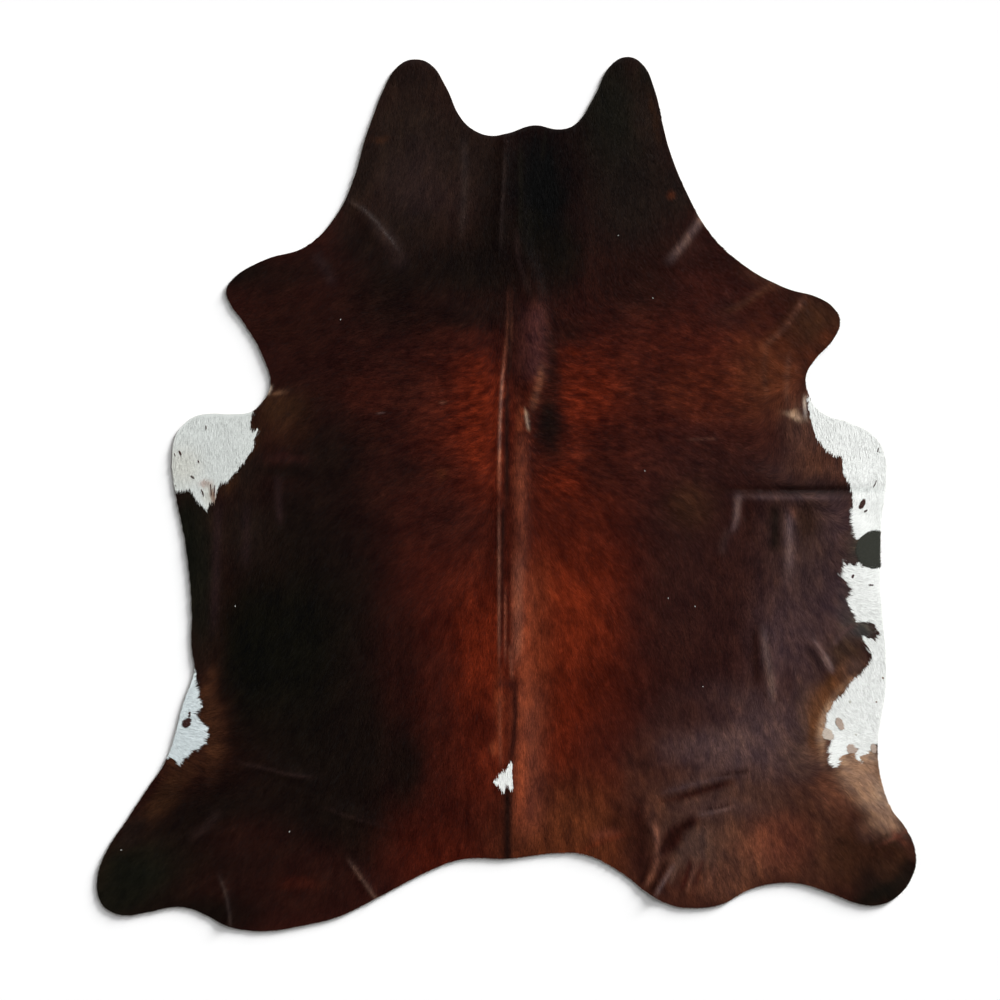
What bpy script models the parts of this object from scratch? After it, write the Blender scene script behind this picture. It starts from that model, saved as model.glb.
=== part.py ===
"""A whole cowhide rug lying hair side up, as one solid: a thin sheet, cut in outline and raised in its folds.

Metres, +Z up. +Y points to the neck, and the origin is under the middle of the hide, on the floor.
"""

from typing import NamedTuple

import bmesh
import bpy
import numpy as np
from mathutils import Vector, geometry

NAME = "hide"
THICKNESS = 0.004  # the leather, with the coat lying flat on it

OUTLINE_STEPS = 4  # points along the outline from one knot to the next
FOLD_STEPS = 8  # points along a fold's route from one knot to the next
ROW_STEP = 0.024  # between points along a fold
ROWS = (-1.0, -0.5, 0.0, 0.5, 1.0)  # rows of points across a fold, in its half widths
LATTICE = 0.11  # between points where the hide is flat, in rows
LATTICE_ROW = LATTICE * 3**0.5 / 2  # from one row of them to the next
LEAST_GAP = 0.0075  # no two points of the mesh lie closer
SAME_POINT = 1e-6
WITHIN_OUTLINE = 1  # keeps the triangles inside the outline, and drops those outside
FADE = 0.3  # share of a fold's length over which it rises, and sinks again
SHARP_ANGLE = 0.7  # faces that meet at more than this are shaded with an edge

COAT = (0.055, 0.018, 0.011, 1.0)
COAT_ROUGHNESS = 0.55

# The cut edge, clockwise from the left neck lobe, as knots (x, y) of one smooth line.
OUTLINE = {
    "left_neck_lobe": (
        (-0.353, 0.888), (-0.331, 0.950), (-0.311, 1.003), (-0.266, 1.074), (-0.226, 1.087),
        (-0.189, 1.074), (-0.152, 1.020), (-0.112, 0.938), (-0.081, 0.910), (-0.041, 0.896),
    ),
    "neck_edge": ((0.000, 0.901), (0.069, 0.922), (0.134, 0.912), (0.171, 0.924)),
    "right_neck_lobe": (
        (0.219, 0.992), (0.265, 1.076), (0.304, 1.093), (0.338, 1.077), (0.371, 1.010),
        (0.391, 0.925),
    ),
    "right_shoulder": (
        (0.408, 0.860), (0.457, 0.741), (0.510, 0.650), (0.597, 0.570), (0.699, 0.515),
        (0.783, 0.490),
    ),
    "right_fore_leg": (
        (0.818, 0.466), (0.834, 0.435), (0.824, 0.397), (0.767, 0.330), (0.749, 0.295),
        (0.752, 0.258),
    ),
    "right_flank": (
        (0.784, 0.207), (0.864, 0.176), (0.917, 0.147), (0.945, 0.102), (0.950, 0.045),
        (0.936, -0.080), (0.935, -0.225), (0.949, -0.465), (0.928, -0.645), (0.941, -0.732),
    ),
    "right_hind_leg": (
        (0.961, -0.785), (1.000, -0.838), (1.024, -0.910), (1.014, -0.957), (0.983, -1.001),
        (0.941, -1.025), (0.896, -1.027), (0.804, -0.995), (0.745, -0.976), (0.675, -0.973),
        (0.600, -0.992),
    ),
    "right_thigh": (
        (0.540, -1.025), (0.461, -1.035), (0.411, -1.027), (0.360, -1.001), (0.284, -0.944),
        (0.199, -0.902), (0.141, -0.897),
    ),
    "rump": (
        (-0.006, -0.912), (-0.078, -0.910), (-0.129, -0.917), (-0.189, -0.940), (-0.316, -1.005),
    ),
    "left_thigh": (
        (-0.419, -1.056), (-0.511, -1.079), (-0.594, -1.092), (-0.654, -1.090), (-0.700, -1.079),
        (-0.752, -1.052),
    ),
    "left_hind_leg": (
        (-0.791, -1.036), (-0.826, -1.032), (-0.907, -1.047), (-0.950, -1.053), (-0.996, -1.040),
        (-1.015, -1.019), (-1.023, -0.970), (-1.005, -0.905), (-0.948, -0.815),
    ),
    "left_flank": (
        (-0.889, -0.725), (-0.851, -0.667), (-0.806, -0.520), (-0.779, -0.439), (-0.786, -0.390),
        (-0.786, -0.287), (-0.801, -0.130), (-0.828, 0.008), (-0.836, 0.080), (-0.828, 0.142),
        (-0.809, 0.172), (-0.779, 0.194), (-0.744, 0.201), (-0.686, 0.200), (-0.636, 0.207),
        (-0.609, 0.232),
    ),
    "left_fore_leg": (
        (-0.590, 0.262), (-0.609, 0.345), (-0.659, 0.432), (-0.691, 0.477), (-0.700, 0.507),
        (-0.686, 0.535), (-0.606, 0.585), (-0.500, 0.620),
    ),
    "left_shoulder": ((-0.424, 0.699), (-0.382, 0.787)),
}


class Fold(NamedTuple):
    """A soft ridge of the sheet. One that runs off the hide starts or ends beyond its edge."""

    name: str
    height: float
    left: float  # half width on the left of the route
    right: float  # half width on its right
    route: tuple  # its knots (x, y)


FOLDS = (
    # name, height, left, right, route
    Fold("spine", 0.0070, 0.034, 0.028, (
        (0.038, 1.00), (0.036, 0.74), (0.037, 0.61), (0.068, 0.52), (0.070, 0.38), (0.060, 0.23),
        (0.036, 0.09), (0.036, -0.23), (0.030, -0.42), (0.016, -0.64), (0.012, -0.86),
    )),
    Fold("spine_crease", 0.0045, 0.014, 0.011, (
        (0.002, 0.50), (-0.002, 0.38), (-0.015, 0.22), (-0.020, 0.05), (-0.023, -0.42), (-0.006, -0.66),
    )),
    Fold("neck", 0.0050, 0.030, 0.014, ((-0.012, 1.00), (-0.010, 0.76), (-0.014, 0.62), (-0.006, 0.52))),
    Fold("right_shoulder_ridge", 0.0095, 0.024, 0.030, ((0.530, 0.720), (0.450, 0.628), (0.385, 0.560))),
    Fold("right_leg_root", 0.0060, 0.022, 0.022, ((0.700, 0.548), (0.632, 0.502), (0.560, 0.470))),
    Fold("right_leg_fold", 0.0060, 0.018, 0.020, ((0.745, 0.490), (0.715, 0.430), (0.655, 0.370))),
    Fold("right_elbow", 0.0060, 0.018, 0.018, ((0.722, 0.335), (0.712, 0.280), (0.680, 0.205))),
    Fold("left_shoulder_ridge", 0.0070, 0.020, 0.024, ((-0.385, 0.735), (-0.325, 0.655), (-0.255, 0.585))),
    Fold("flank_crease", 0.0085, 0.015, 0.034, (
        (0.535, -0.011), (0.610, -0.013), (0.720, -0.013), (0.860, -0.012), (0.990, 0.000),
    )),
    Fold("flank_swell", 0.0045, 0.030, 0.035, (
        (0.500, 0.048), (0.610, 0.045), (0.720, 0.045), (0.860, 0.043), (0.990, 0.050),
    )),
    Fold("flank_corner", 0.0075, 0.018, 0.024, ((0.582, 0.012), (0.572, -0.055), (0.545, -0.130), (0.530, -0.200))),
    Fold("whorl", 0.0060, 0.026, 0.026, ((0.695, -0.045), (0.700, -0.115), (0.715, -0.230))),
    Fold("belly_ridge", 0.0075, 0.030, 0.034, ((0.655, -0.300), (0.662, -0.400), (0.668, -0.540))),
    Fold("belly_pleat", 0.0080, 0.018, 0.022, ((0.745, -0.345), (0.785, -0.410), (0.822, -0.450))),
    Fold("upper_thigh_crease", 0.0085, 0.030, 0.014, (
        (0.355, -0.775), (0.440, -0.745), (0.540, -0.706), (0.640, -0.672),
    )),
    Fold("lower_thigh_crease", 0.0070, 0.012, 0.024, (
        (0.420, -0.830), (0.476, -0.812), (0.566, -0.782), (0.620, -0.765),
    )),
    Fold("thigh_hollow_rim", 0.0080, 0.026, 0.020, ((0.345, -0.770), (0.362, -0.850), (0.395, -0.910))),
    Fold("thigh_hollow_heel", 0.0070, 0.018, 0.026, ((0.490, -0.800), (0.450, -0.865), (0.415, -0.915))),
    Fold("thigh_fan_left", 0.0070, 0.014, 0.014, ((0.395, -0.895), (0.368, -0.950), (0.335, -1.020))),
    Fold("thigh_fan_middle", 0.0080, 0.016, 0.016, ((0.440, -0.890), (0.395, -0.955), (0.360, -1.040))),
    Fold("thigh_fan_right", 0.0065, 0.016, 0.016, ((0.485, -0.900), (0.465, -0.950), (0.440, -1.010))),
    Fold("left_thigh_tuck", 0.0065, 0.014, 0.014, ((-0.395, -0.905), (-0.362, -0.960), (-0.320, -1.030))),
    Fold("left_hock_tuck", 0.0055, 0.014, 0.014, ((-0.720, -0.930), (-0.708, -1.000), (-0.695, -1.110))),
    Fold("left_upper_line", 0.0045, 0.020, 0.016, ((-0.640, -0.655), (-0.560, -0.690), (-0.465, -0.725))),
    Fold("left_lower_line", 0.0045, 0.018, 0.016, ((-0.480, -0.770), (-0.390, -0.800), (-0.280, -0.840))),
)


def clear_scene():
    for obj in list(bpy.data.objects):
        bpy.data.objects.remove(obj, do_unlink=True)


def smooth_line(knots, closed, steps):
    """Points (x, y) along the smooth line through these knots."""
    curve = bpy.data.curves.new("line", "CURVE")
    curve.resolution_u = steps
    spline = curve.splines.new("BEZIER")
    spline.bezier_points.add(len(knots) - 1)
    for point, (x, y) in zip(spline.bezier_points, knots):
        point.co = (x, y, 0.0)
        point.handle_left_type = point.handle_right_type = "AUTO"
    spline.use_cyclic_u = closed
    guide = bpy.data.objects.new("line", curve)
    bpy.context.scene.collection.objects.link(guide)
    bpy.context.view_layer.update()
    line = bpy.data.meshes.new_from_object(guide)
    points = np.array([vertex.co[:2] for vertex in line.vertices])
    bpy.data.objects.remove(guide)
    bpy.data.curves.remove(curve)
    bpy.data.meshes.remove(line)
    return points


def outline_points():
    return smooth_line([knot for stretch in OUTLINE.values() for knot in stretch], True, OUTLINE_STEPS)


def along_and_across(points, line):
    """For each point, how far along the line its nearest place is, as a share, and how far to the line's left."""
    starts, runs = line[:-1], np.diff(line, axis=0)
    lengths = np.linalg.norm(runs, axis=1)
    passed = np.concatenate([[0.0], np.cumsum(lengths)])
    to_start = points[:, None] - starts[None]
    share = np.clip((to_start * runs).sum(2) / lengths**2, 0.0, 1.0)
    off = to_start - share[:, :, None] * runs
    distance = np.linalg.norm(off, axis=2)
    nearest = distance.argmin(1)
    rows = np.arange(len(points))
    along = (passed[nearest] + share[rows, nearest] * lengths[nearest]) / passed[-1]
    run, away = runs[nearest], off[rows, nearest]
    side = np.sign(run[:, 0] * away[:, 1] - run[:, 1] * away[:, 0])
    return along, side * distance[rows, nearest]


def rise(fold, points):
    """How high this fold lifts each point: a rounded ridge that fades out at both ends."""
    along, across = along_and_across(points, smooth_line(fold.route, False, FOLD_STEPS))
    width = np.where(across > 0, fold.left, fold.right)
    ridge = 0.5 + 0.5 * np.cos(np.pi * np.clip(np.abs(across) / width, 0.0, 1.0))
    ends = np.clip(np.minimum(along, 1.0 - along) / FADE, 0.0, 1.0)
    return fold.height * ridge * ends * ends * (3.0 - 2.0 * ends)


def inside(points, outline):
    """Whether each point lies inside the closed outline: it has an odd number of crossings on its right."""
    x, y = points[:, :1], points[:, 1:]
    start, end = outline, np.roll(outline, -1, axis=0)
    spans = (start[:, 1] > y) != (end[:, 1] > y)
    rise_y = np.where(end[:, 1] == start[:, 1], 1.0, end[:, 1] - start[:, 1])
    crossing = start[:, 0] + (y - start[:, 1]) * (end[:, 0] - start[:, 0]) / rise_y
    return (spans & (x < crossing)).sum(1) % 2 == 1


def rows_along(fold):
    """Rows of points on the ridge, on its two flanks and at its two feet."""
    line = smooth_line(fold.route, False, FOLD_STEPS)
    lengths = np.linalg.norm(np.diff(line, axis=0), axis=1)
    passed = np.concatenate([[0.0], np.cumsum(lengths)])
    stations = np.linspace(0.0, passed[-1], max(3, round(passed[-1] / ROW_STEP)))
    middle = np.stack([np.interp(stations, passed, line[:, axis]) for axis in (0, 1)], 1)
    forward = np.gradient(middle, axis=0)
    forward /= np.linalg.norm(forward, axis=1)[:, None]
    left = np.stack([-forward[:, 1], forward[:, 0]], 1)
    return np.concatenate([
        middle + left * row * (fold.left if row > 0 else fold.right)
        for row in sorted(ROWS, key=abs)
    ])


def lattice(outline):
    """Staggered points over the whole hide."""
    low, high = outline.min(0), outline.max(0)
    points = []
    for row, y in enumerate(np.arange(low[1], high[1], LATTICE_ROW)):
        for x in np.arange(low[0] + LATTICE / 2 * (row % 2), high[0], LATTICE):
            points.append((x, y))
    return np.array(points)


def spaced(points, taken):
    """The points in their order, without those within LEAST_GAP of one before them or of a taken one."""
    cells = {}

    def cell(point):
        return int(point[0] // LEAST_GAP), int(point[1] // LEAST_GAP)

    def crowded(point):
        column, row = cell(point)
        near = [
            other
            for i in (-1, 0, 1)
            for j in (-1, 0, 1)
            for other in cells.get((column + i, row + j), ())
        ]
        return any(np.hypot(*(point - other)) < LEAST_GAP for other in near)

    for point in taken:
        cells.setdefault(cell(point), []).append(point)
    kept = []
    for point in points:
        if not crowded(point):
            cells.setdefault(cell(point), []).append(point)
            kept.append(point)
    return np.array(kept)


def flat_mesh():
    """The hide cut out flat: its points, and the triangles between them."""
    outline = outline_points()
    points = np.concatenate([rows_along(fold) for fold in FOLDS] + [lattice(outline)])
    points = spaced(points[inside(points, outline)], outline)
    corners = [Vector(point) for point in np.concatenate([outline, points])]
    edge = list(range(len(outline)))
    cut = geometry.delaunay_2d_cdt(corners, [], [edge], WITHIN_OUTLINE, SAME_POINT)
    return np.array([tuple(point) for point in cut[0]]), cut[2]


def hide_material():
    material = bpy.data.materials.new("brown_cowhide")
    material.use_nodes = True
    shader = material.node_tree.nodes["Principled BSDF"]
    shader.inputs["Base Color"].default_value = COAT
    shader.inputs["Roughness"].default_value = COAT_ROUGHNESS
    shader.inputs["Metallic"].default_value = 0.0
    return material


def thicken(mesh):
    """Makes the raised sheet a closed solid, its underside THICKNESS straight below its top."""
    shape = bmesh.new()
    shape.from_mesh(mesh)
    bmesh.ops.recalc_face_normals(shape, faces=shape.faces)
    if sum(face.normal.z for face in shape.faces) < 0:
        bmesh.ops.reverse_faces(shape, faces=shape.faces)
    under = list(shape.faces)
    made = bmesh.ops.extrude_face_region(shape, geom=under)["geom"]
    top = [part for part in made if isinstance(part, bmesh.types.BMVert)]
    bmesh.ops.translate(shape, verts=top, vec=(0.0, 0.0, THICKNESS))
    bmesh.ops.recalc_face_normals(shape, faces=shape.faces)
    shape.to_mesh(mesh)
    shape.free()


def make_hide():
    points, triangles = flat_mesh()
    heights = sum(rise(fold, points) for fold in FOLDS)
    middle = (points.min(0) + points.max(0)) / 2
    places = np.column_stack([points - middle, heights])
    mesh = bpy.data.meshes.new(NAME)
    mesh.from_pydata(places.tolist(), [], [list(triangle) for triangle in triangles])
    thicken(mesh)
    mesh.shade_smooth()
    mesh.set_sharp_from_angle(angle=SHARP_ANGLE)
    mesh.materials.append(hide_material())
    return bpy.data.objects.new(NAME, mesh)


def main():
    clear_scene()
    rug = bpy.data.collections.new("cowhide_rug")
    bpy.context.scene.collection.children.link(rug)
    rug.objects.link(make_hide())


main()
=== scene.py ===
"""The looks of a whole cowhide rug: its leather, its short coat of hair, and the light on them.

Metres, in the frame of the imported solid: +Y to the neck, +X to the hide's right, +Z up out of the hair.
"""

import math
from typing import NamedTuple

import bpy
import numpy as np
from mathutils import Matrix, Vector, geometry, kdtree
from mathutils.bvhtree import BVHTree


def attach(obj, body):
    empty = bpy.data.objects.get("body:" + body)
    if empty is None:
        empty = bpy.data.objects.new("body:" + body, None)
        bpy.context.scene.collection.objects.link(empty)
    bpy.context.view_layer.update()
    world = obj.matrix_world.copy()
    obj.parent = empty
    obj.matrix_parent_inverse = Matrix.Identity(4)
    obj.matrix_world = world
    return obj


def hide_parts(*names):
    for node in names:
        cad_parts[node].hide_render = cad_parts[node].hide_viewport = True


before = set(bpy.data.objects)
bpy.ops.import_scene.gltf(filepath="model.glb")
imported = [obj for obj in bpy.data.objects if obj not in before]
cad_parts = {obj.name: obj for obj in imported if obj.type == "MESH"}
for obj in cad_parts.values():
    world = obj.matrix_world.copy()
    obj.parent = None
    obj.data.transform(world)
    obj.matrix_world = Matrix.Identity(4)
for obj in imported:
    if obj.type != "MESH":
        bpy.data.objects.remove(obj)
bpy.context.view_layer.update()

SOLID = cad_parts["hide"]
SOLID_THICKNESS = 0.004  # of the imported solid: leather with the coat lying on it
LEATHER = 0.0024  # thickness of the leather alone
AREA = 3.03  # of the hide, in square metres

EDGE_STEPS = 3  # points along the cut edge for each one of the solid
CELL = 0.003  # of the grid that holds the hide's relief, the distance to its edge and its colours
MARGIN = 4 * CELL  # of that grid, around the hide
ROUNDING = 3  # cells over which the solid's facets are rounded off
LATTICE = 0.0092  # between points of the leather
CREASE_STEP = 0.006  # between its points along a fine fold
LEAST_GAP = 0.0035  # between any two of its points
UNEVEN = 0.0012  # most that the leather lifts off the floor away from its folds
LIFTS = ((0.35, 0.11, 11), (0.15, 0.04, 12))  # share, size and seed of the noise in that lift
SHARP = 0.9  # radians between two faces from which their border is sharp

TOP_ON_MAP = ((0.01, 0.01), 0.78)  # corner and scale of the leather's top side on its texture
UNDER_ON_MAP = ((0.80, 0.01), 0.19)
RIM_ON_MAP = (0.01, 0.97, 0.93, 0.97)  # left, width, lower and upper
COAT_MARGIN = 0.02  # of the coat's texture, around the cut edge
DARK_SKIN_SHADE, WHITE_SKIN_SHADE = 0.8, 0.92  # share of its hair's colour on the leather: painted shade between the hairs

BLADES = 97000  # in each layer of the coat; each is two triangles
LAYERS = 4
BLADE_WIDTH = 0.0015
BLADE_LENGTH = 0.019
WIDTHS, LENGTHS = (0.8, 1.2), (0.7, 1.15)  # least and most, as shares of those two
SHOULDER = 0.4  # of a blade's length from its root, where it is widest
SKIN_GAP = 0.0001  # above the leather, from where the depth and lifts of hair are counted
ROOT_DEPTH = 0.0003
SHOULDER_LIFTS = (0.0005, 0.0014)
CLUMP_LIFT = 0.0003
TIP_LIFT = 0.7  # of the shoulders' lift
BLADE_ROOT_TIP_SHADING = (0.82, 1.0, 1.0, 1.16)  # of its colour, at a blade's root, shoulders and tip: painted shade at the root, deep in the coat, and painted light at the tip
DARK_SPREAD, WHITE_SPREAD = 0.14, 0.03  # by which one hair's shade differs from the next one's
SWAY, SWAY_SIZE = 0.22, 0.05  # radians by which the hair turns from its heading, over what length
CLUMP_SWAY, CLUMP_SIZE = 0.12, 0.02  # the same, for its clumps
STRAY = 0.09  # the same, for single hairs
EDGE_GAP = 0.001  # least distance of a root from the cut edge
OVERHANG = 0.0015  # most that a hair reaches past the cut edge
SHORTENED = 1.2  # how much a hair is shortened for what it reaches too far
LEAST_LENGTH = 0.004

MARK_WIDTH = 0.0013
MARK_LIFTS = (0.0019, 0.0023)
MARK_LENGTHS, MARK_SHADES = (0.7, 1.2), (0.85, 1.1)
MARK_STRAY = 0.12
MARK_EDGE_GAP = 0.003
SPOT_HAIRS, SPOT_DENSITY = 8, 2.2e6  # least in a spot, and more of them by its half sizes' product
SPECK_LENGTH, SPECK_STRAY = 0.005, 0.5

LEAN = 0.05  # slope by which one hair's shine differs from the next one's
SHINE_OF_FOLDS = 0.6  # of the solid's slopes, in how the coat shines: it lies across its folds
GLOSS = 0.0023  # light that the hair's gloss sends straight up
SHADE = 0.87  # of dark hair's own colour that is seen from above
BOUNCE = 0.25  # more of it for white hair, which lights its neighbours
DARKEST = 0.0008  # light that is left when the gloss is taken off

WANDER, WANDER_SIZE = 0.008, 0.03  # how far the washes' borders wander, over what length
RAGGED, RAGGED_SIZE = 0.002, 0.007  # the same, for the borders of the white hair
FADING = 0.25  # of a line's length, over which it fades at each end
LINE_REACH = 2.5  # half widths, beyond which a line has no more colour
CHEST_MIDDLE, CHEST_HALF = (0.1, 0.22), (0.55, 0.30)  # (x, y) of the hair that is crimped
# how much each kind of mottling lightens and darkens the coat, and its size
CLOUDS, CLOUD_SIZE = 0.20, 0.07
LOCKS, LOCK_SIZE = 0.22, 0.028
TUFTS, TUFT_SIZE = 0.32, 0.014
HAIRS, HAIR_SIZE = 0.30, 0.008
CRIMPS, CRIMP_SIZE = 0.45, 0.0045
CRIMP_SQUEEZE = (0.30, 1.0)  # (x, y), which draws the crimps out from side to side
MOTTLED = (1.05, 0.95, 0.65)  # how far red, green and blue follow the mottling


# ---------------------------------------------------------------- the coat, as it was charted

# as seen: several colours in the washes and lines below are painted light; orchid and heather are mostly
# painted highlights and sheen, lilac and mauve the painted sheen on the right side
PALETTE = {  # as seen, in display values from 0 to 255
    "night": (9, 9, 9),
    "pitch": (13, 13, 10),
    "moss": (18, 18, 14),
    "olive": (22, 20, 16),
    "soot": (19, 14, 12),
    "umber": (26, 15, 13),
    "sepia": (27, 20, 17),
    "smoke": (33, 24, 20),
    "ash": (38, 27, 25),
    "cinder": (47, 37, 34),
    "cocoa": (34, 17, 14),
    "prune": (35, 24, 24),
    "mahogany": (40, 18, 15),
    "garnet": (52, 22, 18),
    "plum": (45, 24, 21),
    "berry": (64, 35, 33),
    "oxblood": (55, 20, 14),
    "sorrel": (63, 24, 17),
    "russet": (70, 24, 15),
    "rust": (86, 28, 15),
    "ember": (94, 32, 17),
    "copper": (96, 40, 24),
    "dusk": (52, 34, 32),
    "mauve": (61, 43, 40),
    "lilac": (66, 48, 49),
    "heather": (74, 55, 54),
    "orchid": (98, 77, 73),
    "bark": (44, 27, 18),
    "walnut": (56, 33, 22),
    "cedar": (62, 34, 26),
    "hickory": (66, 39, 29),
    "hazel": (72, 47, 38),
    "chestnut": (74, 37, 23),
    "saddle": (80, 39, 23),
    "tawny": (86, 52, 39),
    "taupe": (82, 59, 50),
    "rosewood": (100, 63, 50),
    "adobe": (100, 50, 36),
    "clay": (118, 66, 50),
    "flame": (126, 58, 36),
    "loam": (54, 38, 30),
    "honey": (98, 60, 35),
    "caramel": (118, 86, 66),
    "fawn": (148, 113, 91),
    "sand": (174, 140, 114),
    "oat": (170, 151, 138),
    "linen": (193, 178, 164),
    "cream": (205, 182, 162),
    "bone": (202, 202, 192),
    "pearl": (208, 213, 209),
    "chalk": (206, 217, 219),
    "snow": (245, 248, 244),
    "slate": (51, 52, 47),
    "smog": (67, 63, 60),
    "rose": (160, 125, 112),
}


class Patch(NamedTuple):
    """A soft oval wash of one colour over the coat."""

    colour: str
    x: float
    y: float
    half_width: float
    half_height: float
    turn: float  # degrees, counter-clockwise
    share: float


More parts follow.
